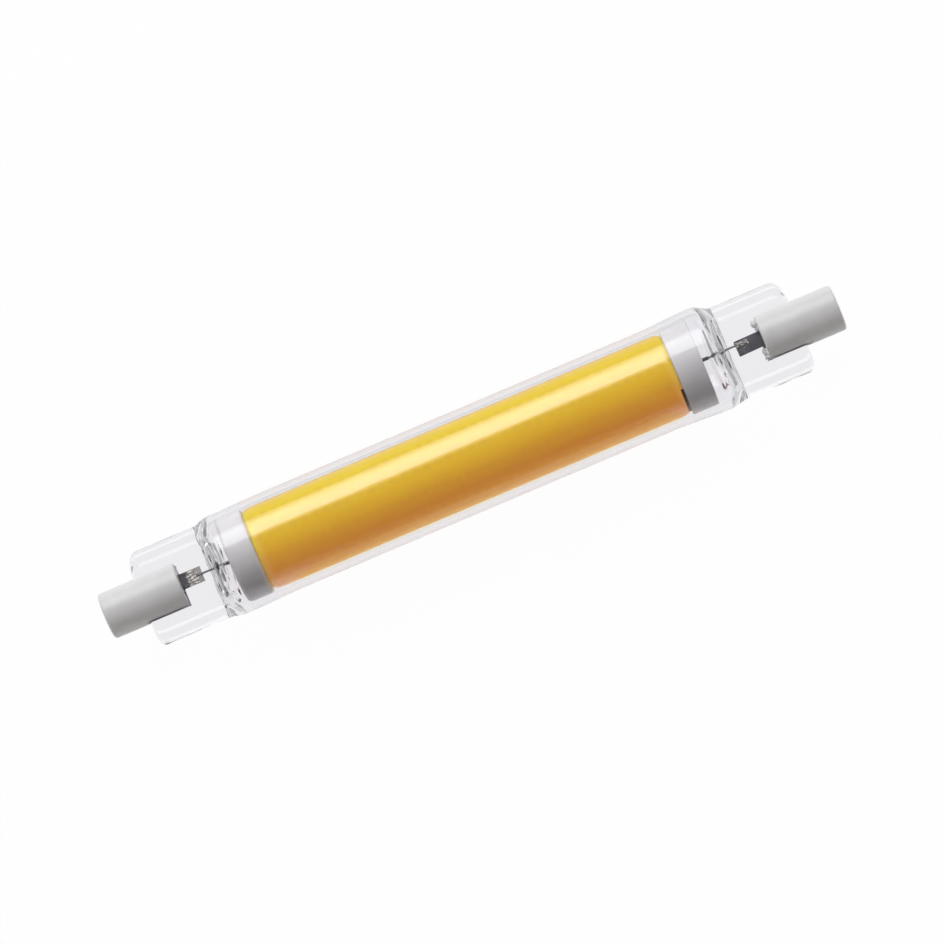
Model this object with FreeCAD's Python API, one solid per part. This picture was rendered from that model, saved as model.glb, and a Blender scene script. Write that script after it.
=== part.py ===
import FreeCAD, Part
import math
import os
from types import SimpleNamespace

# Double-ended linear LED lamp, in millimetres. The lamp lies along X with its middle at the
# origin, its flat presses lie in XY, left is -X and right is +X. Each end is built along +X,
# and the left end is then mirrored.
SIDES = ("left", "right")

# Cap class: contact face to contact face, and how deep each contact lies in its base
CONTACT_DISTANCE = 114.2
CONTACT_RECESS = 1.7

# Ceramic base: a round body with a slot that straddles the press
BASE_RADIUS = 3.55
BASE_LENGTH = 12.15
BASE_TIP_CHAMFER = 0.5
BASE_MOUTH_CHAMFER = 0.25
SLOT_DEPTH = 6.65
RECESS_RADIUS = 2.1
LEAD_BORE_CLEARANCE = 0.15

# Cement between base and press
CEMENT_LAYER = 0.3
CEMENT_FLOOR = {"left": 0.3, "right": 0.9}
CEMENT_BEAD = {"left": 0.2, "right": 0.7}
CEMENT_BEAD_HEIGHT = 1.3
CEMENT_BEAD_INSET = 0.15

# Contact button in the base's recess
BUTTON_RADIUS = 1.75
BUTTON_THICKNESS = 0.8
BUTTON_DISH_RADIUS = 1.1
BUTTON_DISH_DEPTH = 0.15

# Glass envelope: tube, gathered thicker at its right end, shoulders and flat presses
TUBE_RADIUS = 7.75
TUBE_WALL = 0.9
FLARE = 0.4
FLARE_LENGTH = 5.0
SHOULDER_LENGTH = 3.0
SHOULDER_TUCK = 0.15
CAVITY_STOP = 0.5
CAVITY_SIDE_WALL = 1.5
CAVITY_TIP_HEIGHT = 0.35

# Press: a thin web between two round rims, a little off the tube's axis
PRESS_LENGTH = 11.0
PRESS_HALF_WIDTH = 7.35
PRESS_HALF_THICKNESS = 1.1
PRESS_OFFSET_Y = -0.35
PRESS_TIP_ROUND = 0.5
RIM_RADIUS = 1.3
RIM_SETBACK = 0.3
RIM_TAPER = 0.6
RIM_TAPER_LENGTH = 0.9
RIM_RUN_IN = 1.2

# Sealing foil and the leads that are welded to it
FOIL_WIDTH = 2.4
FOIL_LENGTH = 7.6
FOIL_THICKNESS = 0.06
FOIL_INSET = 1.15
INNER_LEAD_RADIUS = 0.15
INNER_WELD_LENGTH = 1.0
OUTER_LEAD_RADIUS = 0.3
OUTER_WELD_LENGTH = 1.6
WELD_FLAT = 0.05
SLEEVE_RADIUS = 0.27
SLEEVE_REACH = {"left": 1.1, "right": 1.2}

# LED module inside the tube: end caps on a ceramic carrier, rows of chips and a coating
MODULE_GAP = {"left": 0.55, "right": 1.3}
MODULE_CLEARANCE = 0.15
CAP_LENGTH = 4.15
CAP_WALL = 1.2
CAP_SKIRT = 0.95
CAP_HOLLOW = 0.8
CAP_CHAMFER = 0.6
CAP_BEVEL_LENGTH = 0.45
CAP_BEVEL_HEIGHT = 0.8
CAP_FIT = 0.05
CAP_RADIUS = TUBE_RADIUS - TUBE_WALL - MODULE_CLEARANCE
CARRIER_RADIUS = CAP_RADIUS - CAP_SKIRT - CAP_FIT
CARRIER_WALL = 0.8
COATING_THICKNESS = 0.7
COATING_DROP = 0.6
COATING_TAPER = 1.8
STRING_COUNT = 12
STRING_MARGIN = 1.2
STRING_WIDTH = 0.6
STRING_HEIGHT = 0.1
CHIP_ROW_WIDTH = 0.4
CHIP_ROW_MARGIN = 0.4
CHIP_HEIGHT = 0.2
CHANNEL_CLEARANCE = 0.05

# Terminals that join the strings' ends, with their tongues under the end caps. The angle is
# the right one's, from +Z towards -Y, and the left one faces the other way.
TERMINAL_ANGLE = 58.8
TERMINAL_SPAN = 48.0
TERMINAL_WIDTH = 0.42
TERMINAL_HEIGHT = 0.45
TONGUE_WIDTH = 1.2
TONGUE_THICKNESS = 0.25
FEED_RADIUS = 0.3
FEED_PLACE = 3.6
FEED_PAD = 2.0

# Driver board inside the carrier, as long as its row of parts and the lead pads at its ends
BOARD_THICKNESS = 1.0
BOARD_CLEARANCE = 0.1
BOARD_GAP = 1.5
LEAD_PAD = 3.0
FUSE_RADIUS = 1.0
FUSE_LENGTH = 4.2
RECTIFIER_SIZE = (4.7, 3.8, 2.4)
RECTIFIER_LEG = (0.6, 0.9, 0.2)
RECTIFIER_LEG_PITCH = 2.5
RECTIFIER_LEG_COUNT = 2
CAPACITOR_RADIUS = 2.2
CAPACITOR_LENGTH = 7.5
CAPACITOR_LEAD_RADIUS = 0.25
CAPACITOR_LEAD_SPREAD = 0.9
CAPACITOR_LEAD_RUN = 1.0
CHIP_COUNT = 2
CHIP_SIZE = (4.9, 3.9, 1.5)
CHIP_LEG = (0.4, 0.9, 0.2)
CHIP_LEG_PITCH = 1.27
CHIP_LEG_COUNT = 4

AXIS = FreeCAD.Vector(1, 0, 0)
ORIGIN = FreeCAD.Vector(0, 0, 0)
JAW_STEPS = 4


def stations(side):
    """Places along the axis of one end, as distances outward from the lamp's middle."""
    at = SimpleNamespace()
    at.contact = CONTACT_DISTANCE / 2
    at.base_tip = at.contact + CONTACT_RECESS
    at.base_mouth = at.base_tip - BASE_LENGTH
    at.slot_floor = at.base_mouth + SLOT_DEPTH
    at.button_back = at.contact - BUTTON_THICKNESS
    at.press_tip = at.slot_floor - CEMENT_FLOOR[side]
    at.press_root = at.press_tip - PRESS_LENGTH
    at.foil_in = at.press_root + FOIL_INSET
    at.foil_out = at.foil_in + FOIL_LENGTH
    at.tube_end = at.press_root - SHOULDER_LENGTH
    at.cap_face = at.tube_end - MODULE_GAP[side]
    at.cap_mouth = at.cap_face - CAP_LENGTH
    at.carrier_end = at.cap_face - CAP_WALL - CAP_HOLLOW
    return at


def board_stations():
    """Places along the driver board, as distances from its left end."""
    at = SimpleNamespace()
    at.fuse = LEAD_PAD + BOARD_GAP
    at.rectifier = at.fuse + FUSE_LENGTH + BOARD_GAP
    at.capacitor_feet = at.rectifier + RECTIFIER_SIZE[0] + BOARD_GAP
    at.capacitor = at.capacitor_feet + CAPACITOR_LEAD_RUN
    at.chips = at.capacitor + CAPACITOR_LENGTH + BOARD_GAP
    at.chip_step = CHIP_SIZE[0] + BOARD_GAP
    at.end = at.chips + CHIP_COUNT * at.chip_step + LEAD_PAD
    return at


LEFT = stations("left")
RIGHT = stations("right")
BOARD = board_stations()
MODULE_MIDDLE = (RIGHT.cap_face - LEFT.cap_face) / 2
BOARD_TOP = -INNER_LEAD_RADIUS
BOARD_LEFT = MODULE_MIDDLE - BOARD.end / 2
BOARD_RIGHT = BOARD_LEFT + BOARD.end
BOARD_END = {"left": -BOARD_LEFT, "right": BOARD_RIGHT}
FOIL_TOP = WELD_FLAT - INNER_LEAD_RADIUS
SLOT_HALF_WIDTH = PRESS_HALF_THICKNESS + CEMENT_LAYER


# Shapes shared by the pieces


def rod(radius, x_from, x_to, y=0.0, z=0.0):
    return Part.makeCylinder(radius, x_to - x_from, FreeCAD.Vector(x_from, y, z), AXIS)


def block(x_from, x_to, y_from, y_to, z_from, z_to):
    corner = FreeCAD.Vector(x_from, y_from, z_from)
    return Part.makeBox(x_to - x_from, y_to - y_from, z_to - z_from, corner)


def turned_about_axis(shape, degrees):
    copy = shape.copy()
    copy.rotate(ORIGIN, AXIS, degrees)
    return copy


def placed(shape, side):
    """The shape as built for a right end, or mirrored for the left one."""
    return shape.mirror(ORIGIN, AXIS) if side == "left" else shape


def line(start, end):
    return Part.LineSegment(start, end).toShape()


def polygon(points):
    """Flat face with straight sides through the points."""
    sides = [line(start, end) for start, end in zip(points, points[1:] + points[:1])]
    return Part.Face(Part.Wire(sides))


def turned_solid(profile):
    """Solid of revolution about X of a closed profile, given as places and radii."""
    face = polygon([FreeCAD.Vector(x, radius, 0) for x, radius in profile])
    return face.revolve(ORIGIN, AXIS, 360)


def edges_where(shape, test):
    return [edge for edge in shape.Edges if test(edge.BoundBox)]


# Glass envelope


def tube_body():
    """Round tube filled solid, thickened a little towards its right shoulder."""
    left = -LEFT.tube_end
    right = RIGHT.tube_end
    return turned_solid(
        [
            (left, 0),
            (left, TUBE_RADIUS),
            (right - FLARE_LENGTH, TUBE_RADIUS),
            (right, TUBE_RADIUS + FLARE),
            (right, 0),
        ]
    )


def tube_bore():
    return rod(TUBE_RADIUS - TUBE_WALL, -LEFT.tube_end, RIGHT.tube_end)


def round_section(x, y, radius):
    """Circle across the lamp, in four arcs."""
    arcs = []
    for quarter in range(4):
        points = []
        for step in (0, 0.5, 1):
            angle = (quarter + step) * math.pi / 2
            across = radius * math.cos(angle)
            up = radius * math.sin(angle)
            points.append(FreeCAD.Vector(x, y + across, up))
        arcs.append(Part.Arc(*points).toShape())
    return Part.Wire(arcs)


def pinched_end(x_from, length, radius, half_width, half_height):
    """End of the tube, drawn in at its sides and squeezed flat between two curved jaws."""
    x_to = x_from + length
    sections = [round_section(x_from, 0, radius), round_section(x_to, PRESS_OFFSET_Y, half_width)]
    drawn_in = Part.makeLoft(sections, True, True)
    upper = []
    for step in range(JAW_STEPS + 1):
        share = step / JAW_STEPS
        eased = (1 - math.cos(math.pi * share)) / 2
        upper.append(FreeCAD.Vector(x_from + length * share, -2 * radius, radius + (half_height - radius) * eased))
    lower = [FreeCAD.Vector(point.x, point.y, -point.z) for point in reversed(upper)]
    between_jaws = polygon(upper + lower).extrude(FreeCAD.Vector(0, 4 * radius, 0))
    return drawn_in.common(between_jaws)


def press_web(at):
    """Flat plate of the press, with its outer end rounded."""
    half_width = PRESS_HALF_WIDTH - RIM_RADIUS
    web = block(
        at.press_root - RIM_RUN_IN / 2,
        at.press_tip,
        PRESS_OFFSET_Y - half_width,
        PRESS_OFFSET_Y + half_width,
        -PRESS_HALF_THICKNESS,
        PRESS_HALF_THICKNESS,
    )
    tip_edges = edges_where(web, lambda box: box.XMin > at.press_root and box.YLength > half_width)
    return web.makeFillet(PRESS_TIP_ROUND, tip_edges)


def press_rim(at, across):
    """Round bead along one long edge of the press, tapered at its outer end."""
    x_to = at.press_tip - RIM_SETBACK
    bead = turned_solid(
        [
            (at.press_root - RIM_RUN_IN, 0),
            (at.press_root - RIM_RUN_IN, RIM_RADIUS),
            (x_to - RIM_TAPER_LENGTH, RIM_RADIUS),
            (x_to, RIM_RADIUS - RIM_TAPER),
            (x_to, 0),
        ]
    )
    bead.translate(FreeCAD.Vector(0, PRESS_OFFSET_Y + across * (PRESS_HALF_WIDTH - RIM_RADIUS), 0))
    return bead


def press_body(at):
    return press_web(at).multiFuse([press_rim(at, 1), press_rim(at, -1)])


def end_of_glass(side, at):
    """Shoulder and press of one end, before the cavity and the seal are taken out."""
    radius = TUBE_RADIUS + (FLARE if side == "right" else 0)
    half_width = PRESS_HALF_WIDTH - SHOULDER_TUCK
    shoulder = pinched_end(at.tube_end, SHOULDER_LENGTH, radius, half_width, PRESS_HALF_THICKNESS)
    return placed(shoulder.fuse(press_body(at)), side)


def end_of_cavity(side, at):
    length = SHOULDER_LENGTH - CAVITY_STOP
    half_width = PRESS_HALF_WIDTH - CAVITY_SIDE_WALL
    radius = TUBE_RADIUS - TUBE_WALL
    return placed(pinched_end(at.tube_end, length, radius, half_width, CAVITY_TIP_HEIGHT), side)


def glass_envelope(sealed_in):
    """Whole glass, hollow, with the foils and leads sealed into its presses."""
    outside = tube_body()
    cavity = tube_bore()
    for side, at in (("left", LEFT), ("right", RIGHT)):
        outside = outside.fuse(end_of_glass(side, at))
        cavity = cavity.fuse(end_of_cavity(side, at))
    return outside.cut(cavity).cut(Part.makeCompound(sealed_in))


# Foil, leads and contact of one end


def sealing_foil(at):
    half_width = FOIL_WIDTH / 2
    return block(at.foil_in, at.foil_out, -half_width, half_width, FOIL_TOP - FOIL_THICKNESS, FOIL_TOP)


def flattened(lead, radius, x_from, x_to, y):
    """The lead with a flat where it lies on the foil."""
    below = block(x_from, x_to, y - 2 * radius, y + 2 * radius, -2 * radius, FOIL_TOP)
    return lead.cut(below)


def inner_lead(side, at):
    """Thin wire from the foil, along the tube's axis, to its pad on the driver board."""
    weld_end = at.foil_in + INNER_WELD_LENGTH
    lead = rod(INNER_LEAD_RADIUS, BOARD_END[side] - LEAD_PAD, weld_end)
    return flattened(lead, INNER_LEAD_RADIUS, at.foil_in, weld_end + 1, 0)


def lead_sleeve(side, at):
    """Short dark sleeve on the inner lead, where it enters the end cap."""
    x_from = at.cap_face - CAP_WALL
    x_to = at.cap_face + SLEEVE_REACH[side]
    return rod(SLEEVE_RADIUS, x_from, x_to).cut(rod(INNER_LEAD_RADIUS, x_from, x_to))


def outer_lead(at):
    """Stiff wire from the foil through the base to the back of the contact button."""
    weld_from = at.foil_out - OUTER_WELD_LENGTH
    lead = rod(OUTER_LEAD_RADIUS, weld_from, at.button_back, PRESS_OFFSET_Y)
    return flattened(lead, OUTER_LEAD_RADIUS, weld_from - 1, at.foil_out, PRESS_OFFSET_Y)


def contact_button(at):
    """Dished metal disc, welded to the end of the outer lead."""
    dish_floor = at.contact - BUTTON_DISH_DEPTH
    button = turned_solid(
        [
            (at.button_back, 0),
            (at.button_back, BUTTON_RADIUS),
            (at.contact, BUTTON_RADIUS),
            (at.contact, BUTTON_DISH_RADIUS),
            (dish_floor, BUTTON_DISH_RADIUS - BUTTON_DISH_DEPTH),
            (dish_floor, 0),
        ]
    )
    button.translate(FreeCAD.Vector(0, PRESS_OFFSET_Y, 0))
    return button


# Ceramic base and its cement


def base_slot(at):
    reach = BASE_RADIUS + 1
    return block(
        at.base_mouth,
        at.slot_floor,
        PRESS_OFFSET_Y - reach,
        PRESS_OFFSET_Y + reach,
        -SLOT_HALF_WIDTH,
        SLOT_HALF_WIDTH,
    )


def ceramic_base(at):
    """Slotted round body with a bore for the lead and a recess for the contact."""
    body = turned_solid(
        [
            (at.base_mouth, 0),
            (at.base_mouth, BASE_RADIUS - BASE_MOUTH_CHAMFER),
            (at.base_mouth + BASE_MOUTH_CHAMFER, BASE_RADIUS),
            (at.base_tip - BASE_TIP_CHAMFER, BASE_RADIUS),
            (at.base_tip, BASE_RADIUS - BASE_TIP_CHAMFER),
            (at.base_tip, 0),
        ]
    )
    body.translate(FreeCAD.Vector(0, PRESS_OFFSET_Y, 0))
    bore_radius = OUTER_LEAD_RADIUS + LEAD_BORE_CLEARANCE
    bore = rod(bore_radius, at.slot_floor - 1, at.button_back + 0.1, PRESS_OFFSET_Y)
    seat = rod(BUTTON_RADIUS, at.button_back, at.contact + 0.1, PRESS_OFFSET_Y)
    recess = rod(RECESS_RADIUS, at.contact, at.base_tip + 1, PRESS_OFFSET_Y)
    return body.cut(base_slot(at)).cut(bore.multiFuse([seat, recess]))


def base_cement(side, at, press, lead):
    """Cement that fills the slot round the press, with a bead at its mouth behind the press."""
    filling = base_slot(at).common(rod(BASE_RADIUS, at.base_mouth, at.slot_floor, PRESS_OFFSET_Y))
    bead = rod(BASE_RADIUS - CEMENT_BEAD_INSET, at.base_mouth - CEMENT_BEAD[side], at.base_mouth, PRESS_OFFSET_Y)
    bead = bead.common(
        block(
            at.base_mouth - CEMENT_BEAD[side],
            at.base_mouth,
            PRESS_OFFSET_Y - BASE_RADIUS,
            PRESS_OFFSET_Y + BASE_RADIUS,
            -PRESS_HALF_THICKNESS - CEMENT_BEAD_HEIGHT,
            -PRESS_HALF_THICKNESS,
        )
    )
    return filling.fuse(bead).cut(press).cut(lead).removeSplitter()


# LED module


def end_cap(side, at):
    """Cup that closes the carrier's end. The left one has its edges taken off."""
    mouth = at.cap_mouth
    face = at.cap_face
    socket = CARRIER_RADIUS + CAP_FIT
    inside = [(face, SLEEVE_RADIUS), (face - CAP_WALL, SLEEVE_RADIUS), (face - CAP_WALL, socket), (mouth, socket)]
    crisp = [(mouth, CAP_RADIUS), (face, CAP_RADIUS)]
    eased = [
        (mouth, CAP_RADIUS - CAP_BEVEL_HEIGHT),
        (mouth + CAP_BEVEL_LENGTH, CAP_RADIUS),
        (face - CAP_CHAMFER, CAP_RADIUS),
        (face, CAP_RADIUS - CAP_CHAMFER),
    ]
    return turned_solid(inside + (eased if side == "left" else crisp))


def terminal_angle(side):
    return TERMINAL_ANGLE + (180 if side == "left" else 0)


def terminal(side, at):
    """Dark strip round part of the carrier, with a tongue that folds over the carrier's end."""
    strip_from = at.cap_mouth - TERMINAL_WIDTH
    strip_top = CARRIER_RADIUS + TERMINAL_HEIGHT
    section = polygon(
        [
            FreeCAD.Vector(strip_from, CARRIER_RADIUS, 0),
            FreeCAD.Vector(at.cap_mouth, CARRIER_RADIUS, 0),
            FreeCAD.Vector(at.cap_mouth, strip_top, 0),
            FreeCAD.Vector(strip_from, strip_top, 0),
        ]
    )
    strip = turned_about_axis(section.revolve(ORIGIN, AXIS, TERMINAL_SPAN), 90 - TERMINAL_SPAN / 2)
    half = TONGUE_WIDTH / 2
    floor = CARRIER_RADIUS - TONGUE_THICKNESS
    tongue = block(strip_from, at.carrier_end, -half, half, floor, CARRIER_RADIUS)
    fold_to = at.carrier_end + TONGUE_THICKNESS
    fold = block(at.carrier_end, fold_to, -half, half, FEED_PLACE - FEED_RADIUS, CARRIER_RADIUS)
    tab = tongue.fuse(fold).common(rod(CARRIER_RADIUS, strip_from, fold_to))
    whole = turned_about_axis(strip.fuse(tab), terminal_angle(side))
    return placed(whole, side)


def bent_wire(radius, start, corner, end):
    """Round wire along two straight runs, mitred at the corner."""
    path = Part.Wire([line(start, corner), line(corner, end)])
    profile = Part.Wire([Part.makeCircle(radius, start, corner - start)])
    sweep = Part.BRepOffsetAPI.MakePipeShell(path)
    sweep.setTransitionMode(1)
    sweep.add(profile)
    sweep.build()
    sweep.makeSolid()
    return sweep.shape()


def feed_wire(side, at):
    """Wire from a terminal's fold to the near face of the driver board."""
    angle = math.radians(terminal_angle(side))
    y = -math.sin(angle) * FEED_PLACE
    z = math.cos(angle) * FEED_PLACE
    board_face = BOARD_TOP if z > BOARD_TOP else BOARD_TOP - BOARD_THICKNESS
    pad = BOARD_END[side] - FEED_PAD
    fold = FreeCAD.Vector(at.carrier_end, y, z)
    corner = FreeCAD.Vector(pad, y, z)
    foot = FreeCAD.Vector(pad, y, board_face)
    return placed(bent_wire(FEED_RADIUS, fold, corner, foot), side)


def led_carrier(terminals):
    """Ceramic tube, with a groove for each terminal's tongue."""
    tube = rod(CARRIER_RADIUS, -LEFT.carrier_end, RIGHT.carrier_end)
    bore = rod(CARRIER_RADIUS - CARRIER_WALL, -LEFT.carrier_end, RIGHT.carrier_end)
    return tube.cut(bore).cut(Part.makeCompound(terminals))


def string_span():
    """Left and right ends of the LED strings."""
    return -LEFT.cap_mouth + STRING_MARGIN, RIGHT.cap_mouth - STRING_MARGIN


def evenly_round(shape):
    """One copy of the shape for each LED string."""
    step = 360 / STRING_COUNT
    return Part.makeCompound([turned_about_axis(shape, index * step) for index in range(STRING_COUNT)])


def led_strings():
    """Narrow strips along the carrier, each with its row of chips as one ridge on top."""
    left, right = string_span()
    half_strip = STRING_WIDTH / 2
    half_row = CHIP_ROW_WIDTH / 2
    strip_top = CARRIER_RADIUS + STRING_HEIGHT
    row_top = strip_top + CHIP_HEIGHT
    row_left = left + CHIP_ROW_MARGIN
    row_right = right - CHIP_ROW_MARGIN
    strip = block(left, right, -half_strip, half_strip, CARRIER_RADIUS - STRING_HEIGHT, strip_top)
    row = block(row_left, row_right, -half_row, half_row, strip_top, row_top)
    return evenly_round(strip.fuse(row).cut(rod(CARRIER_RADIUS, left, right)))


def string_channels():
    """Space that the strings take in the coating."""
    left, right = string_span()
    half = STRING_WIDTH / 2 + CHANNEL_CLEARANCE
    top = CARRIER_RADIUS + STRING_HEIGHT + CHIP_HEIGHT + CHANNEL_CLEARANCE
    channel = block(
        left - CHANNEL_CLEARANCE,
        right + CHANNEL_CLEARANCE,
        -half,
        half,
        CARRIER_RADIUS - CARRIER_WALL / 2,
        top,
    )
    return evenly_round(channel)


def phosphor_coating(terminals):
    """Coating over the strings, drawn in at both ends."""
    left = -LEFT.cap_mouth
    right = RIGHT.cap_mouth
    outer = CARRIER_RADIUS + COATING_THICKNESS
    coating = turned_solid(
        [
            (left, CARRIER_RADIUS),
            (left, outer - COATING_DROP),
            (left + COATING_TAPER, outer),
            (right - COATING_TAPER, outer),
            (right, outer - COATING_DROP),
            (right, CARRIER_RADIUS),
        ]
    )
    return coating.cut(string_channels()).cut(Part.makeCompound(terminals))


# Mains driver


def driver_board():
    reach = CARRIER_RADIUS - CARRIER_WALL - BOARD_CLEARANCE
    depth = BOARD_THICKNESS - BOARD_TOP
    half_width = math.sqrt(reach * reach - depth * depth)
    return block(BOARD_LEFT, BOARD_RIGHT, -half_width, half_width, BOARD_TOP - BOARD_THICKNESS, BOARD_TOP)


def gull_package(place, size, leg, leg_pitch, leg_count):
    """Flat package on the board, with legs along both long sides."""
    length, width, height = size
    stand = leg[2]
    x_from = BOARD_LEFT + place
    x_middle = x_from + length / 2
    body = block(
        x_from,
        x_from + length,
        -width / 2,
        width / 2,
        BOARD_TOP + stand,
        BOARD_TOP + stand + height,
    )
    legs = []
    for index in range(leg_count):
        x = x_middle + (index - (leg_count - 1) / 2) * leg_pitch
        half = leg[0] / 2
        reach = width / 2 + leg[1]
        legs.append(block(x - half, x + half, -reach, reach, BOARD_TOP, BOARD_TOP + stand))
        for across in (-1, 1):
            near = across * width / 2
            far = across * (width / 2 + stand)
            rise = BOARD_TOP + stand + height / 2
            legs.append(block(x - half, x + half, min(near, far), max(near, far), BOARD_TOP, rise))
    return body.multiFuse(legs).removeSplitter()


def bridge_rectifier():
    leg_row = (RECTIFIER_LEG, RECTIFIER_LEG_PITCH, RECTIFIER_LEG_COUNT)
    return gull_package(BOARD.rectifier, RECTIFIER_SIZE, *leg_row)


def driver_chips():
    chips = []
    for index in range(CHIP_COUNT):
        place = BOARD.chips + index * BOARD.chip_step
        chips.append(gull_package(place, CHIP_SIZE, CHIP_LEG, CHIP_LEG_PITCH, CHIP_LEG_COUNT))
    return Part.makeCompound(chips)


def smoothing_capacitor():
    """Round can that lies on the board, with its two leads bent down to it."""
    left = BOARD_LEFT + BOARD.capacitor
    foot = BOARD_LEFT + BOARD.capacitor_feet
    middle = BOARD_TOP + CAPACITOR_RADIUS
    can = rod(CAPACITOR_RADIUS, left, left + CAPACITOR_LENGTH, 0, middle)
    for y in (-CAPACITOR_LEAD_SPREAD, CAPACITOR_LEAD_SPREAD):
        start = FreeCAD.Vector(left, y, middle)
        corner = FreeCAD.Vector(foot, y, middle)
        end = FreeCAD.Vector(foot, y, BOARD_TOP)
        can = can.fuse(bent_wire(CAPACITOR_LEAD_RADIUS, start, corner, end))
    return can


def fuse_resistor():
    """Small round resistor, on the board next to the left lead's pad."""
    left = BOARD_LEFT + BOARD.fuse
    return rod(FUSE_RADIUS, left, left + FUSE_LENGTH, 0, BOARD_TOP + FUSE_RADIUS)


def end_pieces(side, at):
    """Pieces of one end outside the module, under their node names."""
    lead = outer_lead(at)
    pieces = {
        "ceramic_base": ceramic_base(at),
        "base_cement": base_cement(side, at, press_body(at), lead),
        "contact_button": contact_button(at),
        "outer_lead": lead,
        "sealing_foil": sealing_foil(at),
        "inner_lead": inner_lead(side, at),
        "lead_sleeve": lead_sleeve(side, at),
        "end_cap": end_cap(side, at),
    }
    return {f"{name}_{side}": placed(shape, side) for name, shape in pieces.items()}


def lamp():
    """All pieces of the lamp, under their node names."""
    pieces = {}
    for side, at in (("left", LEFT), ("right", RIGHT)):
        pieces.update(end_pieces(side, at))
        pieces[f"terminal_{side}"] = terminal(side, at)
        pieces[f"feed_wire_{side}"] = feed_wire(side, at)
    sealed_names = ("sealing_foil", "inner_lead", "outer_lead")
    sealed_in = [pieces[f"{name}_{side}"] for name in sealed_names for side in SIDES]
    terminals = [pieces[f"terminal_{side}"] for side in SIDES]
    pieces["glass_envelope"] = glass_envelope(sealed_in)
    pieces["led_carrier"] = led_carrier(terminals)
    pieces["led_strings"] = led_strings()
    pieces["phosphor_coating"] = phosphor_coating(terminals)
    pieces["driver_board"] = driver_board()
    pieces["bridge_rectifier"] = bridge_rectifier()
    pieces["driver_chips"] = driver_chips()
    pieces["smoothing_capacitor"] = smoothing_capacitor()
    pieces["fuse_resistor"] = fuse_resistor()
    return pieces


os.makedirs("parts", exist_ok=True)
for node, shape in lamp().items():
    shape.exportStep(f"parts/{node}.step")
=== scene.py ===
import math

import bmesh
import bpy
from mathutils import Matrix, Vector


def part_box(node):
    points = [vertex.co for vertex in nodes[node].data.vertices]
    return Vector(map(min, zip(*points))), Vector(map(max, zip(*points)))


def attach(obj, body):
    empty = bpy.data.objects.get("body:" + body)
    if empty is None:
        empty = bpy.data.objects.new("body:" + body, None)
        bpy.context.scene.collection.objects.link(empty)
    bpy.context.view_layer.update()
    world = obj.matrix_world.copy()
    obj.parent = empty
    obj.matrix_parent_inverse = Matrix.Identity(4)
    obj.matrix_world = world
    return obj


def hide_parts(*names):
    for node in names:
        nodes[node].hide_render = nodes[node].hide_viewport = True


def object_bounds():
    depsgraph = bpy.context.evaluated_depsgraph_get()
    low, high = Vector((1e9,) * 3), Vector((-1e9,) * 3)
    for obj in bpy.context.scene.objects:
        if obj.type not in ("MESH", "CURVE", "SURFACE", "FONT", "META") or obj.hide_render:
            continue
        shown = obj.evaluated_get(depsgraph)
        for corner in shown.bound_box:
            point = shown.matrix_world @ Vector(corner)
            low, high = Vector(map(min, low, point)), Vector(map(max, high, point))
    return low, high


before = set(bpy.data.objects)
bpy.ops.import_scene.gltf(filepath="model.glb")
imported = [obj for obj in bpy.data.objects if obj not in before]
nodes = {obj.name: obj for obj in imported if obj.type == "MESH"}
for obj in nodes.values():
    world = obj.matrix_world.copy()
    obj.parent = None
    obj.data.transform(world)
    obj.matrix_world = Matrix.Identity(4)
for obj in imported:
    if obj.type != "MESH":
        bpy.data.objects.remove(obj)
cad_low, cad_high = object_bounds()

MM = 0.001
QUARTER_TURN = math.radians(90)
SIDES = ("left", "right")
OUTWARD = {"left": -1, "right": 1}
NEAR = 0.001 * MM
SLACK = 0.02 * MM
SQUARE_ON = 0.9
SMOOTH_UNDER = 40
SMALL_ROUND_STEPS = 3
TURNED_SIDES = 96

# Where the frame's nodes lie
BASE_BOX = {side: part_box(f"ceramic_base_{side}") for side in SIDES}
CAP_BOX = {side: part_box(f"end_cap_{side}") for side in SIDES}
FOIL_BOX = {side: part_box(f"sealing_foil_{side}") for side in SIDES}
BUTTON_BOX = {side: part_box(f"contact_button_{side}") for side in SIDES}
GLASS_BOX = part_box("glass_envelope")
COATING_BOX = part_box("phosphor_coating")
CARRIER_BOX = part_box("led_carrier")
LEAD_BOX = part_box("outer_lead_right")

base_axis_y = (BASE_BOX["left"][0].y + BASE_BOX["left"][1].y) / 2
base_radius = (BASE_BOX["left"][1].z - BASE_BOX["left"][0].z) / 2
cap_radius = CAP_BOX["left"][1].z
coating_radius = COATING_BOX[1].z
carrier_radius = CARRIER_BOX[1].z

# The glass: tube, shoulders and presses
TUBE_RADIUS = 7.75 * MM
TUBE_WALL = 0.9 * MM
SHOULDER_LENGTH = 3.0 * MM
PRESS_LENGTH = 11.0 * MM
PRESS_HALF_WIDTH = 7.35 * MM
PRESS_HALF_THICKNESS = 1.1 * MM
PRESS_RIM_RADIUS = 1.3 * MM
PRESS_SECTION = (PRESS_HALF_WIDTH, PRESS_RIM_RADIUS, PRESS_HALF_THICKNESS)
GLASS_SIDES = 96
COLUMN_DIGITS = 7
GLASS_SMOOTH_UNDER = 60


def outer_end(box, side):
    """The end of a box that looks away from the lamp's middle."""
    return box[0].x if side == "left" else box[1].x


def inner_end(box, side):
    return box[1].x if side == "left" else box[0].x


# Modelling by hand: selection by place, then Blender's own tools


def select_only(piece):
    bpy.ops.object.select_all(action="DESELECT")
    bpy.context.view_layer.objects.active = piece
    piece.select_set(True)


def join(piece, *others):
    """Makes other pieces part of the first one."""
    select_only(piece)
    for other in others:
        other.select_set(True)
    bpy.ops.object.join()


def named(piece, name):
    piece.name = name
    piece.data.name = name
    return piece


def select_all():
    bpy.ops.mesh.select_all(action="SELECT")


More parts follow.
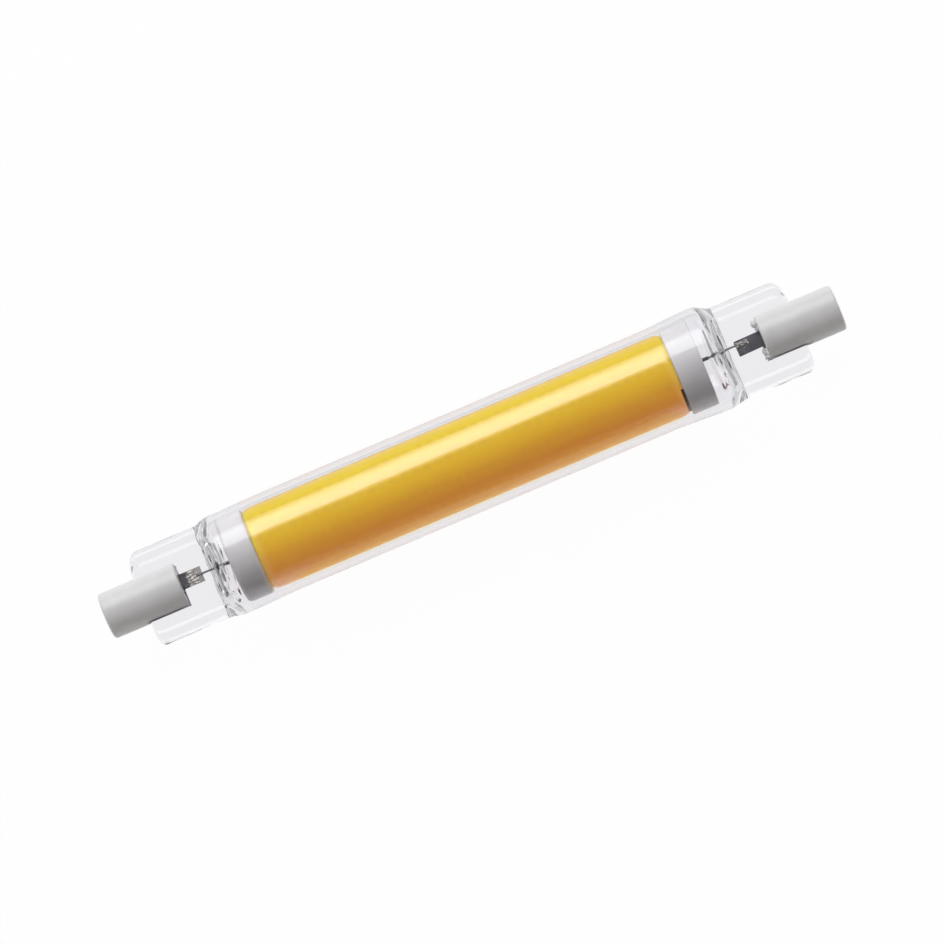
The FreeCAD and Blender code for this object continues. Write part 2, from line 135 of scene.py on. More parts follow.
def open_mesh(piece):
    """Opens a piece's mesh with all of it selected."""
    select_only(piece)
    bpy.ops.object.mode_set(mode="EDIT")
    select_all()


def close_mesh():
    bpy.ops.object.mode_set(mode="OBJECT")


def pick(kind, test):
    """Selects the open mesh's vertices, edges or faces that pass the test."""
    piece = bpy.context.edit_object
    bpy.ops.mesh.select_mode(type=kind)
    bpy.ops.mesh.select_all(action="DESELECT")
    mesh = bmesh.from_edit_mesh(piece.data)
    parts = {"VERT": mesh.verts, "EDGE": mesh.edges, "FACE": mesh.faces}[kind]
    for part in parts:
        if test(part):
            part.select_set(True)
    mesh.select_flush_mode()
    bmesh.update_edit_mesh(piece.data)


def facing(way, place):
    """Test for faces that look one way along the lamp, at a place on its axis."""

    def test(face):
        return face.normal.x * way > SQUARE_ON and abs(face.calc_center_median().x - place) < SLACK

    return test


def rim_at(x, radius, centre_y=0.0):
    """Test for the edges of one round rim across the lamp."""

    def on_rim(point):
        distance = math.hypot(point.y - centre_y, point.z)
        return abs(point.x - x) < SLACK and abs(distance - radius) < SLACK

    return lambda edge: on_rim(edge.verts[0].co) and on_rim(edge.verts[1].co)


def inset(thickness):
    bpy.ops.mesh.inset(thickness=thickness)


def extrude(along, across=0):
    bpy.ops.mesh.extrude_region_move(TRANSFORM_OT_translate={"value": (along, across, 0)})


def squeeze(share_y, share_z, centre=(0, 0, 0)):
    """Scales the selection across the lamp about a centre."""
    bpy.ops.transform.resize(value=(1, share_y, share_z), center_override=centre, orient_type="GLOBAL")


def bevel(width, segments):
    bpy.ops.mesh.bevel(offset=width, segments=segments, affect="EDGES")


def delete_faces():
    bpy.ops.mesh.delete(type="FACE")


def round_rim(x, radius, width, segments, centre_y=0.0):
    """Rounds off one rim across the lamp."""
    pick("EDGE", rim_at(x, radius, centre_y))
    bevel(width, segments)


def merge_doubles():
    select_all()
    bpy.ops.mesh.remove_doubles(threshold=NEAR)


def close_solid():
    """Turns all faces outwards and closes the mesh."""
    select_all()
    bpy.ops.mesh.normals_make_consistent(inside=False)
    close_mesh()


def settle(piece):
    """Puts the piece's place into its mesh, and its object at the origin."""
    select_only(piece)
    bpy.ops.object.transform_apply(location=True, rotation=True, scale=True)
    return piece


def apply_modifiers(piece):
    select_only(piece)
    for modifier in list(piece.modifiers):
        bpy.ops.object.modifier_apply(modifier=modifier.name)


def cylinder(name, radius, x_from, x_to, centre_y=0.0, sides=TURNED_SIDES):
    """Solid round bar along the lamp, a start for turned pieces."""
    bpy.ops.mesh.primitive_cylinder_add(
        vertices=sides, radius=radius, depth=abs(x_to - x_from),
        location=((x_from + x_to) / 2, centre_y, 0), rotation=(0, QUARTER_TURN, 0),
    )
    return settle(named(bpy.context.object, name))


def ring(radius, place, sides, fill="NOTHING"):
    """Round edge loop across the lamp, or a round face where it's filled."""
    bpy.ops.mesh.primitive_circle_add(
        vertices=sides, radius=radius, fill_type=fill, location=place, rotation=(0, QUARTER_TURN, 0)
    )
    return settle(bpy.context.object)


def block(x_from, x_to, y_from, y_to, z_from, z_to):
    """Cube stretched to the given corners."""
    bpy.ops.mesh.primitive_cube_add(
        size=1, location=((x_from + x_to) / 2, (y_from + y_to) / 2, (z_from + z_to) / 2)
    )
    bpy.ops.transform.resize(value=(abs(x_to - x_from), abs(y_to - y_from), abs(z_to - z_from)))
    return settle(bpy.context.object)


def cut_away(piece, cutter):
    """Takes the cutter's shape out of the piece and removes the cutter."""
    step = piece.modifiers.new("cut", "BOOLEAN")
    step.operation = "DIFFERENCE"
    step.solver = "EXACT"
    step.object = cutter
    apply_modifiers(piece)
    bpy.data.objects.remove(cutter)


def finish_piece(piece, slot, *nodes, smooth_under=SMOOTH_UNDER):
    """Shades the piece, rides it on the lamp's one body and hides the nodes it stands for."""
    select_only(piece)
    bpy.ops.object.shade_smooth_by_angle(angle=math.radians(smooth_under))
    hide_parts(*nodes)
    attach(piece, "root")
    return piece


# Glass envelope


def section_height(across, bead_place, bead_radius, web):
    """Half height of a cross-section at a distance from its middle."""
    reach = abs(across - bead_place)
    bead = math.sqrt(max(0.0, bead_radius * bead_radius - reach * reach))
    return max(web, bead) if across < bead_place else bead


def cross_section(x, centre_y, half_width, bead_radius, web):
    """Edge loop across the lamp: a round rim on each side and a flat web between them."""
    loop = ring(half_width, (x, centre_y, 0), GLASS_SIDES)
    if bead_radius > half_width - NEAR:
        return loop
    columns = sorted({round(abs(vertex.co.y - centre_y), COLUMN_DIGITS) for vertex in loop.data.vertices})
    open_mesh(loop)
    for across in columns[:-1]:
        height = math.sqrt(half_width * half_width - across * across)
        goal = section_height(across, half_width - bead_radius, bead_radius, web)
        pick("VERT", lambda v: abs(abs(v.co.y - centre_y) - across) < NEAR)
        squeeze(1, goal / height, (x, centre_y, 0))
    close_mesh()
    return loop


def copied_section(loop, x, centre_y, upper_share, lower_share, height_share):
    """Copy of an edge loop at another place, drawn in on each side and in height."""
    select_only(loop)
    bpy.ops.object.duplicate()
    copy = bpy.context.object
    open_mesh(copy)
    bpy.ops.transform.translate(value=(x - copy.data.vertices[0].co.x, 0, 0))
    squeeze(1, height_share, (x, centre_y, 0))
    for way, share in ((1, upper_share), (-1, lower_share)):
        pick("VERT", lambda v: way * (v.co.y - centre_y) > NEAR)
        squeeze(share, 1, (x, centre_y, 0))
    close_mesh()
    return copy


def loft(name, loops):
    """Closed skin through edge loops that lie in order along the lamp."""
    ends = [loops[0].data.vertices[0].co.x, loops[-1].data.vertices[0].co.x]
    join(*loops)
    piece = named(loops[0], name)
    open_mesh(piece)
    bpy.ops.mesh.bridge_edge_loops(type="SINGLE")
    for x in ends:
        pick("EDGE", lambda edge: all(abs(v.co.x - x) < NEAR for v in edge.verts))
        bpy.ops.mesh.edge_face_add()
    close_solid()
    return piece


def eased(share):
    return (1 - math.cos(math.pi * share)) / 2


def between(start, end, share):
    return start + (end - start) * share


SHOULDER_LOOPS = 18
RIM_STEP = 0.5 * MM
CORNER_LOOPS = 9
CORNER_RUN = {"left": (1.9 * MM, 1.3 * MM), "right": (1.9 * MM, 1.4 * MM)}
CORNER_DROP = {"left": (2.9 * MM, 1.5 * MM), "right": (3.0 * MM, 1.6 * MM)}
TIP_ROUND = 0.6 * MM
END_RADIUS = {"left": 7.8 * MM, "right": 8.1 * MM}
END_SHIFT = {"left": -0.23 * MM, "right": 0.0}
END_RUN = 9.0 * MM
RUN_STEPS = [0.5, 1.0, 1.6, 2.3, 3.2, 4.5, 6.2, 8.5, 12.0, 20.0, 30.0]


def glass_x(side, depth):
    """Place along the lamp at a depth behind one tip of the glass."""
    return outer_end(GLASS_BOX, side) - OUTWARD[side] * depth


def fall_back(depth, run):
    """Share by which a rounded edge falls back at a depth behind the tip."""
    short = max(0.0, 1 - depth / run)
    return 1 - math.sqrt(1 - short * short)


def press_loops(side):
    """Edge loops of one press, from its tip inwards to the shoulder's foot."""
    corner = CORNER_RUN[side][0]
    turns = [QUARTER_TURN * step / CORNER_LOOPS for step in range(CORNER_LOOPS + 1)]
    depths = [corner * (1 - math.cos(turn)) for turn in turns]
    steps = math.ceil((PRESS_LENGTH - corner) / RIM_STEP)
    depths += [between(corner, PRESS_LENGTH, step / steps) for step in range(1, steps)]
    root = cross_section(glass_x(side, PRESS_LENGTH), base_axis_y, *PRESS_SECTION)
    loops = []
    for depth in depths:
        shares = [
            1 - drop / PRESS_HALF_WIDTH * fall_back(depth, run)
            for run, drop in zip(CORNER_RUN[side], CORNER_DROP[side])
        ]
        flatness = 1 - TIP_ROUND * fall_back(depth, TIP_ROUND) / PRESS_HALF_THICKNESS
        loops.append(copied_section(root, glass_x(side, depth), base_axis_y, *shares, flatness))
    return loops + [root]


def widening_loops(side, depth, length, steps, flat, radius):
    """Edge loops from a flat section at a depth behind the tip to a round one further in."""
    loops = []
    for step in steps:
        share = eased(step / steps[-1])
        x = glass_x(side, depth) - OUTWARD[side] * length * step / steps[-1]
        sizes = [between(size, radius, share) for size in flat]
        loops.append(cross_section(x, between(base_axis_y, END_SHIFT[side], share), *sizes))
    return loops


def shoulder_loops(side):
    """Edge loops from the press's root out to the round tube."""
    steps = range(1, SHOULDER_LOOPS + 1)
    return widening_loops(side, PRESS_LENGTH, SHOULDER_LENGTH, steps, PRESS_SECTION, END_RADIUS[side])


def tube_loops(wall):
    """Edge loops along the tube, where the ends' flare and shift die out."""
    ends = {side: glass_x(side, PRESS_LENGTH + SHOULDER_LENGTH) for side in SIDES}
    places = [ends["left"] + step * MM for step in RUN_STEPS]
    places += [ends["right"] - step * MM for step in reversed(RUN_STEPS)]
    loops = []
    for x in places:
        radius = TUBE_RADIUS - wall
        shift = 0.0
        for side in SIDES:
            near = eased(max(0.0, 1 - abs(x - ends[side]) / END_RUN))
            radius += (END_RADIUS[side] - TUBE_RADIUS) * near
            shift += END_SHIFT[side] * near
        loops.append(cross_section(x, shift, radius, radius, radius))
    return loops


CAVITY_LOOPS = 14
CAVITY_STOP = 0.5 * MM
CAVITY_SIDE_WALL = 1.5 * MM
CAVITY_TIP_HEIGHT = 0.35 * MM


def cavity_loops(side):
    """Edge loops of the cavity's end, from its slit in the shoulder to the tube's bore."""
    slit = (PRESS_HALF_WIDTH - CAVITY_SIDE_WALL, CAVITY_TIP_HEIGHT, CAVITY_TIP_HEIGHT)
    depth = PRESS_LENGTH + CAVITY_STOP
    length = SHOULDER_LENGTH - CAVITY_STOP
    steps = range(CAVITY_LOOPS + 1)
    return widening_loops(side, depth, length, steps, slit, END_RADIUS[side] - TUBE_WALL)


NOISE_STEP = (7 * MM, 3 * MM, 5 * MM)


def ripple(piece, zones, grain, strength, seed, stretch=1.0, direction="NORMAL"):
    """Uneven surface, as the flame leaves it on hot glass, strongest in the given zones."""
    weights = piece.vertex_groups.new(name="worked_glass")
    for vertex in piece.data.vertices:
        weight = max(zone(vertex.co) for zone in zones)
        if weight > 0:
            weights.add([vertex.index], weight, "REPLACE")
    texture = bpy.data.textures.new(f"{piece.name}_ripple", "CLOUDS")
    texture.noise_scale = grain
    texture.noise_depth = 1
    texture.noise_basis = "ORIGINAL_PERLIN"
    origin = bpy.data.objects.new(f"{piece.name}_ripple_place", None)
    bpy.context.scene.collection.objects.link(origin)
    origin.location = [seed * step for step in NOISE_STEP]
    origin.scale = (1, stretch, stretch)
    bpy.context.view_layer.update()
    step = piece.modifiers.new("ripple", "DISPLACE")
    step.texture = texture
    step.texture_coords = "OBJECT"
    step.texture_coords_object = origin
    step.direction = direction
    step.vertex_group = weights.name
    step.strength = strength
    step.mid_level = 0.5
    apply_modifiers(piece)
    piece.vertex_groups.clear()
    bpy.data.objects.remove(origin)
    bpy.data.textures.remove(texture)


PRESS_FADE = 0.8 * MM
REACH_POWER = 4


def shoulder_zone(side, inner_reach, level):
    """Ripple on one shoulder, dying out towards tube and press."""
    root = glass_x(side, PRESS_LENGTH)

    def weight(place):
        depth = OUTWARD[side] * (root - place.x)
        if depth < 0:
            return level * max(0.0, 1 + depth / PRESS_FADE)
        return level * max(0.0, 1 - (depth / inner_reach) ** REACH_POWER)

    return weight


TIP_FADE = 2.4 * MM
RIM_FADE = 2.0 * MM
RIM_SHARE = 0.3
CORNER_SHARE = 0.9


def corner_zone(side):
    """Ripple on a press's rims and outer corners."""
    way = OUTWARD[side]

    def weight(place):
        along = abs(place.x - outer_end(GLASS_BOX, side))
        across = abs(place.y - base_axis_y)
        if way * place.x < way * glass_x(side, PRESS_LENGTH):
            return 0.0
        near_tip = max(0.0, 1 - along / TIP_FADE)
        near_rim = max(0.0, 1 - (PRESS_HALF_WIDTH - across) / RIM_FADE)
        return min(1.0, (RIM_SHARE + CORNER_SHARE * near_tip) * near_rim)

    return weight


SHOULDER_REACH = {"left": 3.0 * MM, "right": 2.6 * MM}
SHOULDER_LEVEL = {"left": 1.0, "right": 0.6}
FOOT_REACH = {"left": 2.6 * MM, "right": 2.2 * MM}
FOOT_LEVEL = {"left": 1.0, "right": 0.5}
SHOULDER_GRAIN = 0.5 * MM
SHOULDER_RIPPLE = 0.07 * MM
CAVITY_RIPPLE = 0.07 * MM
FOOT_GRAIN = 2.6 * MM
FOOT_WAVE = 1.5 * MM
RIM_GRAIN = 0.8 * MM
RIM_RIPPLE = 0.34 * MM
STREAK_STRETCH = 3.5


def glass_envelope():
    """Tube, shoulders and presses in one skin, with the cavity as a second skin inside it."""
    outside = loft(
        "glass_body",
        press_loops("left") + shoulder_loops("left") + tube_loops(0)
        + shoulder_loops("right")[::-1] + press_loops("right")[::-1],
    )
    corners = [corner_zone(side) for side in SIDES]
    feet = [shoulder_zone(side, FOOT_REACH[side], FOOT_LEVEL[side]) for side in SIDES]
    shoulders = [shoulder_zone(side, SHOULDER_REACH[side], SHOULDER_LEVEL[side]) for side in SIDES]
    ripple(outside, corners, RIM_GRAIN, RIM_RIPPLE, seed=1)
    ripple(outside, feet, FOOT_GRAIN, FOOT_WAVE, seed=7, direction="X")
    ripple(outside, shoulders, SHOULDER_GRAIN, SHOULDER_RIPPLE, seed=2, stretch=STREAK_STRETCH)
    bore_loops = cavity_loops("left") + tube_loops(TUBE_WALL) + cavity_loops("right")[::-1]
    inside = loft("glass_bore", bore_loops)
    ripple(inside, shoulders, SHOULDER_GRAIN, CAVITY_RIPPLE, seed=5, stretch=STREAK_STRETCH)
    open_mesh(inside)
    bpy.ops.mesh.flip_normals()
    close_mesh()
    join(outside, inside)
    return finish_piece(outside, "clear_glass", "glass_envelope", smooth_under=GLASS_SMOOTH_UNDER)


# End caps of the LED module

CAP_FLOOR = 1.2 * MM
CAP_FIT = 0.05 * MM
CAP_SIDES = 128
CAP_FACE_ROUND = {"left": 0.75 * MM, "right": 0.18 * MM}
CAP_MOUTH_ROUND = {"left": 0.5 * MM, "right": 0.12 * MM}
CAP_FACE_STEPS = 6
CAP_MOUTH_STEPS = 4
LEAD_SHIFT = {"left": 0.0, "right": 0.22 * MM}
sleeve_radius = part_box("lead_sleeve_left")[1].z
inner_lead_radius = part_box("inner_lead_right")[1].z


def end_cap(side):
    """Moulded cup on the carrier's end, with a hole for the lead."""
    way = OUTWARD[side]
    face = outer_end(CAP_BOX[side], side)
    mouth = inner_end(CAP_BOX[side], side)
    socket = carrier_radius + CAP_FIT
    floor = face - way * CAP_FLOOR
    cap = cylinder(f"cap_{side}", cap_radius, face, mouth, sides=CAP_SIDES)
    to_lead = (0, LEAD_SHIFT[side], 0)
    open_mesh(cap)
    pick("FACE", facing(-way, mouth))
    inset(cap_radius - socket)
    extrude(floor - mouth)
    inset(socket - sleeve_radius)
    bpy.ops.transform.translate(value=to_lead)
    delete_faces()
    pick("FACE", facing(way, face))
    inset(cap_radius - sleeve_radius)
    bpy.ops.transform.translate(value=to_lead)
    extrude(floor - face)
    delete_faces()
    merge_doubles()
    round_rim(face, cap_radius, CAP_FACE_ROUND[side], CAP_FACE_STEPS)
    round_rim(mouth, cap_radius, CAP_MOUTH_ROUND[side], CAP_MOUTH_STEPS)
    close_solid()
    return finish_piece(cap, "cap_plastic", f"end_cap_{side}")


# Phosphor coating

COATING_SIDES = 128
COATING_STEPS = 5
COATING_RUN = {"left": 1.5 * MM, "right": 1.3 * MM}
COATING_DROP = {"left": 0.55 * MM, "right": 0.6 * MM}
COATING_GAP = {"left": 0.08 * MM, "right": 0.15 * MM}
NOTCH_CLEARANCE = 0.06 * MM
NOTCH_REACH = 1 * MM
STRING_ROOM = 6.05 * MM
CARRIER_FIT = 0.02 * MM
END_LAND = 0.9 * MM


def notch_for_dark_piece(sleeve, side):
    """Cuts the coating back round the near-black piece at its end."""
    low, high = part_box(f"terminal_{side}")
    way = OUTWARD[side]
    start = inner_end((low, high), side) - way * NOTCH_CLEARANCE
    cutter = block(
        start, start + way * 2 * NOTCH_REACH,
        low.y - NOTCH_CLEARANCE, high.y + NOTCH_CLEARANCE,
        low.z - NOTCH_CLEARANCE, high.z + NOTCH_CLEARANCE,
    )
    open_mesh(cutter)
    outward_y = 1 if high.y > 0 else -1
    outward_z = 1 if high.z > 0 else -1
    pick("FACE", lambda face: max(face.normal.y * outward_y, face.normal.z * outward_z) > SQUARE_ON)
    bpy.ops.transform.translate(value=(0, outward_y * NOTCH_REACH, outward_z * NOTCH_REACH))
    close_mesh()
    cut_away(sleeve, cutter)


def phosphor_coating():
    """Cast sleeve over the LED strings, drawn in at both ends."""
    ends = {side: outer_end(COATING_BOX, side) - OUTWARD[side] * COATING_GAP[side] for side in SIDES}
    starts = {side: ends[side] - OUTWARD[side] * COATING_RUN[side] for side in SIDES}
    sleeve = cylinder(
        "phosphor_sleeve", coating_radius, starts["left"], starts["right"], sides=COATING_SIDES
    )
    open_mesh(sleeve)
    for side in SIDES:
        way = OUTWARD[side]
        pick("FACE", facing(way, starts[side]))
        radius = coating_radius
        for step in range(1, COATING_STEPS + 1):
            turn = QUARTER_TURN * step / COATING_STEPS
            goal = coating_radius - COATING_DROP[side] * (1 - math.cos(turn))
            run = COATING_RUN[side] * (math.sin(turn) - math.sin(turn - QUARTER_TURN / COATING_STEPS))
            extrude(way * run)
            squeeze(goal / radius, goal / radius)
            radius = goal
        bore = carrier_radius + CARRIER_FIT
        inset(radius - bore)
        extrude(-way * END_LAND)
        squeeze(STRING_ROOM / bore, STRING_ROOM / bore)
    span = ends["right"] - ends["left"] - 2 * END_LAND
    extrude(-span)
    delete_faces()
    pick("FACE", facing(-1, ends["left"] + END_LAND))
    delete_faces()
    merge_doubles()
    close_solid()
    for side in SIDES:
        notch_for_dark_piece(sleeve, side)
    return finish_piece(sleeve, "phosphor", "phosphor_coating")


# Ceramic bases and their cement

BASE_TIP_ROUND = 0.45 * MM
BASE_TIP_STEPS = 5
BASE_MOUTH_ROUND = {"left": 0.2 * MM, "right": 0.3 * MM}
RECESS_RADIUS = 2.1 * MM
RECESS_ROUND = 0.15 * MM
LEAD_BORE_CLEARANCE = 0.15 * MM
SLOT_HALF_HEIGHT = 1.4 * MM
SLOT_DEPTH = 6.65 * MM
BORE_OVERLAP = 0.2 * MM
SLOT_OVERRUN = 1 * MM
lead_radius = (LEAD_BOX[1].y - LEAD_BOX[0].y) / 2
button_radius = (BUTTON_BOX["left"][1].z - BUTTON_BOX["left"][0].z) / 2


def ceramic_base(side):
    """Pressed and fired base: slot for the press, bore for the lead, recess for the contact."""
    way = OUTWARD[side]
    tip = outer_end(BASE_BOX[side], side)
    mouth = inner_end(BASE_BOX[side], side)
    contact = outer_end(BUTTON_BOX[side], side)
    button_back = inner_end(BUTTON_BOX[side], side)
    slot_floor = mouth + way * SLOT_DEPTH
    bore_radius = lead_radius + LEAD_BORE_CLEARANCE
    base = cylinder(f"base_{side}", base_radius, mouth, tip, base_axis_y)
    open_mesh(base)
    pick("FACE", facing(way, tip))
    inset(base_radius - RECESS_RADIUS)
    extrude(contact - tip)
    inset(RECESS_RADIUS - button_radius)
    extrude(button_back - contact)
    inset(button_radius - bore_radius)
    extrude(slot_floor - button_back - way * BORE_OVERLAP)
    round_rim(tip, base_radius, BASE_TIP_ROUND, BASE_TIP_STEPS, base_axis_y)
    round_rim(tip, RECESS_RADIUS, RECESS_ROUND, SMALL_ROUND_STEPS, base_axis_y)
    round_rim(mouth, base_radius, BASE_MOUTH_ROUND[side], SMALL_ROUND_STEPS, base_axis_y)
    close_solid()
    slot = block(
        mouth - way * SLOT_OVERRUN, slot_floor,
        base_axis_y - 2 * base_radius, base_axis_y + 2 * base_radius,
        -SLOT_HALF_HEIGHT, SLOT_HALF_HEIGHT,
    )
    cut_away(base, slot)
    return finish_piece(base, "base_ceramic", f"ceramic_base_{side}")


def roughen(lump, cuts, grain, roughness, seed):
    """Uneven skin, as cement or molten metal sets."""
    open_mesh(lump)
    bpy.ops.mesh.subdivide(number_cuts=cuts)
    close_mesh()
    ripple(lump, [lambda place: 1.0], grain, roughness, seed)


BEAD_REACH = {"left": 0.05 * MM, "right": 0.3 * MM}
BEAD_ROOT = 0.2 * MM
BEAD_GRAIN = 0.6 * MM
BEAD_DEPTH = 1.15 * MM
BEAD_SPAN = 3.15 * MM
BEAD_CUTS = 14
BEAD_ROUGHNESS = {"left": 0.4 * MM, "right": 0.8 * MM}
BEAD_SINK = {"left": 0.1 * MM, "right": 0.15 * MM}
LOBE_SPANS = {"left": [], "right": [(1.75 * MM, 3.0 * MM), (-3.3 * MM, -1.6 * MM)]}
LOBE_REACH = 0.72 * MM
LOBE_ROOT = 0.15 * MM
LOBE_FOOT = 0.05 * MM
LOBE_ROUND = 0.18 * MM
LOBE_GRAIN = 0.6 * MM
LOBE_HEIGHT = 0.6 * MM
LOBE_CUTS = 12
LOBE_ROUGHNESS = 0.55 * MM
CEMENT_SKIN = 0.03 * MM
PRESS_CLEARANCE = 0.02 * MM
CEMENT_SMOOTH_UNDER = 35


def cement_lobe(mouth, way, low, high):
    """Crumb of cement squeezed out over the press in front of the base's mouth."""
    lobe = block(
        mouth - way * LOBE_REACH, mouth + way * LOBE_ROOT,
        base_axis_y + low, base_axis_y + high,
        PRESS_HALF_THICKNESS + LOBE_FOOT, PRESS_HALF_THICKNESS + LOBE_HEIGHT,
    )
    open_mesh(lobe)
    bevel(LOBE_ROUND, SMALL_ROUND_STEPS)
    close_mesh()
    roughen(lobe, LOBE_CUTS, LOBE_GRAIN, LOBE_ROUGHNESS, seed=8 + low / MM)
    return lobe


def base_cement(side):
    """Filling between press and slot, with a rough bead at the base's mouth behind the press."""
    way = OUTWARD[side]
    mouth = inner_end(BASE_BOX[side], side)
    slot_floor = mouth + way * SLOT_DEPTH
    radius = base_radius - CEMENT_SKIN
    half_height = SLOT_HALF_HEIGHT - PRESS_CLEARANCE
    filling = cylinder(f"cement_{side}", radius, mouth, slot_floor - way * PRESS_CLEARANCE, base_axis_y)
    open_mesh(filling)
    for facing_way in (1, -1):
        select_all()
        plane = (mouth, 0, facing_way * half_height)
        bpy.ops.mesh.bisect(plane_co=plane, plane_no=(0, 0, facing_way), use_fill=True, clear_outer=True)
    close_mesh()
    press = PRESS_HALF_THICKNESS + PRESS_CLEARANCE
    tip = outer_end(GLASS_BOX, side) + way * PRESS_CLEARANCE
    inner = mouth - way * SLOT_OVERRUN
    cut_away(filling, block(inner, tip, -PRESS_HALF_WIDTH, PRESS_HALF_WIDTH, -press, press))
    bead = block(
        mouth - way * BEAD_REACH[side], mouth + way * BEAD_ROOT,
        base_axis_y - BEAD_SPAN, base_axis_y + BEAD_SPAN,
        -press - BEAD_DEPTH, -press - BEAD_SINK[side],
    )
    roughen(bead, BEAD_CUTS, BEAD_GRAIN, BEAD_ROUGHNESS[side], seed=3 + way)
    lobes = [cement_lobe(mouth, way, low, high) for low, high in LOBE_SPANS[side]]
    join(filling, bead, *lobes)
    return finish_piece(filling, "cement", f"base_cement_{side}", smooth_under=CEMENT_SMOOTH_UNDER)


# Sealed foils, the right lead and its sleeve

FOIL_CUTS = (90, 28)
FOIL_SHIFT = {"left": 0.0, "right": -0.26 * MM}
FOIL_TURN = {"left": 0.0, "right": math.radians(-1.5)}
FOIL_SHEET = 0.03 * MM
FOIL_CRINKLE = {"left": 0.22 * MM, "right": 0.08 * MM}
FOIL_PATCH = {"left": (0.5 * MM, 2.7 * MM), "right": (0.2 * MM, 2.0 * MM)}
FOIL_PATCH_FADE = 0.5 * MM
FOIL_GRAIN = 0.45 * MM
FOIL_STRETCH = 0.8
FOIL_SMOOTHEST = 0.12
FOIL_SMOOTH_UNDER = 50
WELD_LENGTH = 2.0 * MM
WELD_WIDTH = 0.72 * MM
WELD_HEIGHT = 0.16 * MM
WELD_CUTS = 20
WELD_CURL = 0.45 * MM
WELD_GRAIN = 0.22 * MM
WELD_START = 0.05 * MM


def weld_bead(x_from, y_place, z_from):
    """Curled, molten strip of metal over the lead's end on the foil."""
    z_middle = z_from + inner_lead_radius
    weld = block(
        x_from + WELD_START, x_from + WELD_LENGTH,
        y_place - WELD_WIDTH / 2, y_place + WELD_WIDTH / 2,
        z_middle - WELD_HEIGHT / 2, z_middle + WELD_HEIGHT / 2,
    )
    roughen(weld, WELD_CUTS, WELD_GRAIN, WELD_CURL, seed=6)
    return weld


def sealing_foil(side):
    """Thin crinkled strip of metal, sealed into the press."""
    low, high = FOIL_BOX[side]
    way = OUTWARD[side]
    inner = inner_end((low, high), side)
    centre = ((low.x + high.x) / 2, (low.y + high.y) / 2 + FOIL_SHIFT[side], high.z)
    bpy.ops.mesh.primitive_grid_add(
        x_subdivisions=FOIL_CUTS[0], y_subdivisions=FOIL_CUTS[1], size=1, location=centre
    )
    bpy.ops.transform.resize(value=(high.x - low.x, high.y - low.y, 1))
    bpy.ops.transform.rotate(value=FOIL_TURN[side], orient_axis="Z", center_override=centre)
    foil = settle(named(bpy.context.object, f"foil_{side}"))
    patch_from, patch_to = FOIL_PATCH[side]

    def patch(place):
        depth = way * (place.x - inner)
        inside = min(depth - patch_from, patch_to - depth) / FOIL_PATCH_FADE
        return max(FOIL_SMOOTHEST, min(1.0, inside))

    ripple(foil, [patch], FOIL_GRAIN, FOIL_CRINKLE[side], seed=9, stretch=FOIL_STRETCH)
    sheet = foil.modifiers.new("sheet", "SOLIDIFY")
    sheet.thickness = FOIL_SHEET
    apply_modifiers(foil)
    if side == "right":
        join(foil, weld_bead(inner, LEAD_SHIFT[side], high.z))
    return finish_piece(foil, "foil", f"sealing_foil_{side}", smooth_under=FOIL_SMOOTH_UNDER)


WIRE_SIDES = 24
LEAD_END_WIDTH = 0.38 * MM
LEAD_END_HEIGHT = 0.08 * MM
LEAD_BEND = 1.4 * MM
BEND_SHARES = (0.15, 0.35, 0.35, 0.15)
PRESSED_STEPS = 4
PRESSED_STEP = 0.08 * MM
PRESSED_SHARE = 0.8
PRESSED_TAPER = 0.6
SLEEVE_GAP = 0.01 * MM
SLEEVE_SIDES = 32
SLEEVE_ROUND = 0.05 * MM


def right_lead():
    """Inner lead that steps aside to its hole in the cap, with its end pressed flat on the foil."""
    low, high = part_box("inner_lead_right")
    shift = LEAD_SHIFT["right"]
    cap_floor = CAP_BOX["right"][1].x - CAP_FLOOR
    foil_edge = FOIL_BOX["right"][0].x
    lead = named(ring(inner_lead_radius, (low.x, 0, 0), WIRE_SIDES, "NGON"), "lead_right")
    open_mesh(lead)
    extrude(cap_floor - LEAD_BEND - low.x)
    for share in BEND_SHARES:
        extrude(LEAD_BEND / len(BEND_SHARES), shift * share)
    extrude(foil_edge - cap_floor)
    centre = (foil_edge, shift, 0)
    wider = (LEAD_END_WIDTH / inner_lead_radius) ** (1 / PRESSED_STEPS)
    flatter = (LEAD_END_HEIGHT / inner_lead_radius) ** (1 / PRESSED_STEPS)
    for _ in range(PRESSED_STEPS):
        extrude(PRESSED_STEP)
        squeeze(wider, flatter, centre)
    extrude(WELD_LENGTH * PRESSED_SHARE)
    squeeze(PRESSED_TAPER, PRESSED_TAPER, centre)
    close_solid()
    return finish_piece(lead, "lead_wire", "inner_lead_right")


def right_sleeve():
    """Insulating sleeve round the lead where it leaves the cap."""
    low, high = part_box("lead_sleeve_right")
    shift = LEAD_SHIFT["right"]
    sleeve = cylinder("sleeve_right", sleeve_radius, low.x, high.x, shift, SLEEVE_SIDES)
    open_mesh(sleeve)
    for way, end in ((-1, low.x), (1, high.x)):
        pick("FACE", facing(way, end))
        inset(sleeve_radius - inner_lead_radius - SLEEVE_GAP)
        delete_faces()
    pick("EDGE", lambda edge: edge.is_boundary)
    bpy.ops.mesh.bridge_edge_loops()
    for end in (low.x, high.x):
        round_rim(end, sleeve_radius, SLEEVE_ROUND, SMALL_ROUND_STEPS, shift)
    close_solid()
    return finish_piece(sleeve, "dark_sleeve", "lead_sleeve_right")


# Floor and backdrop

FLOOR_SIZE = 6.0
FLOOR_GAP = 0.1 * MM


def studio_floor():
    """Plain floor just under the lamp, which is its backdrop too."""
    bpy.ops.mesh.primitive_plane_add(size=FLOOR_SIZE, location=(0, 0, cad_low.z - FLOOR_GAP))
    floor = named(bpy.context.object, "studio_floor")
    return floor


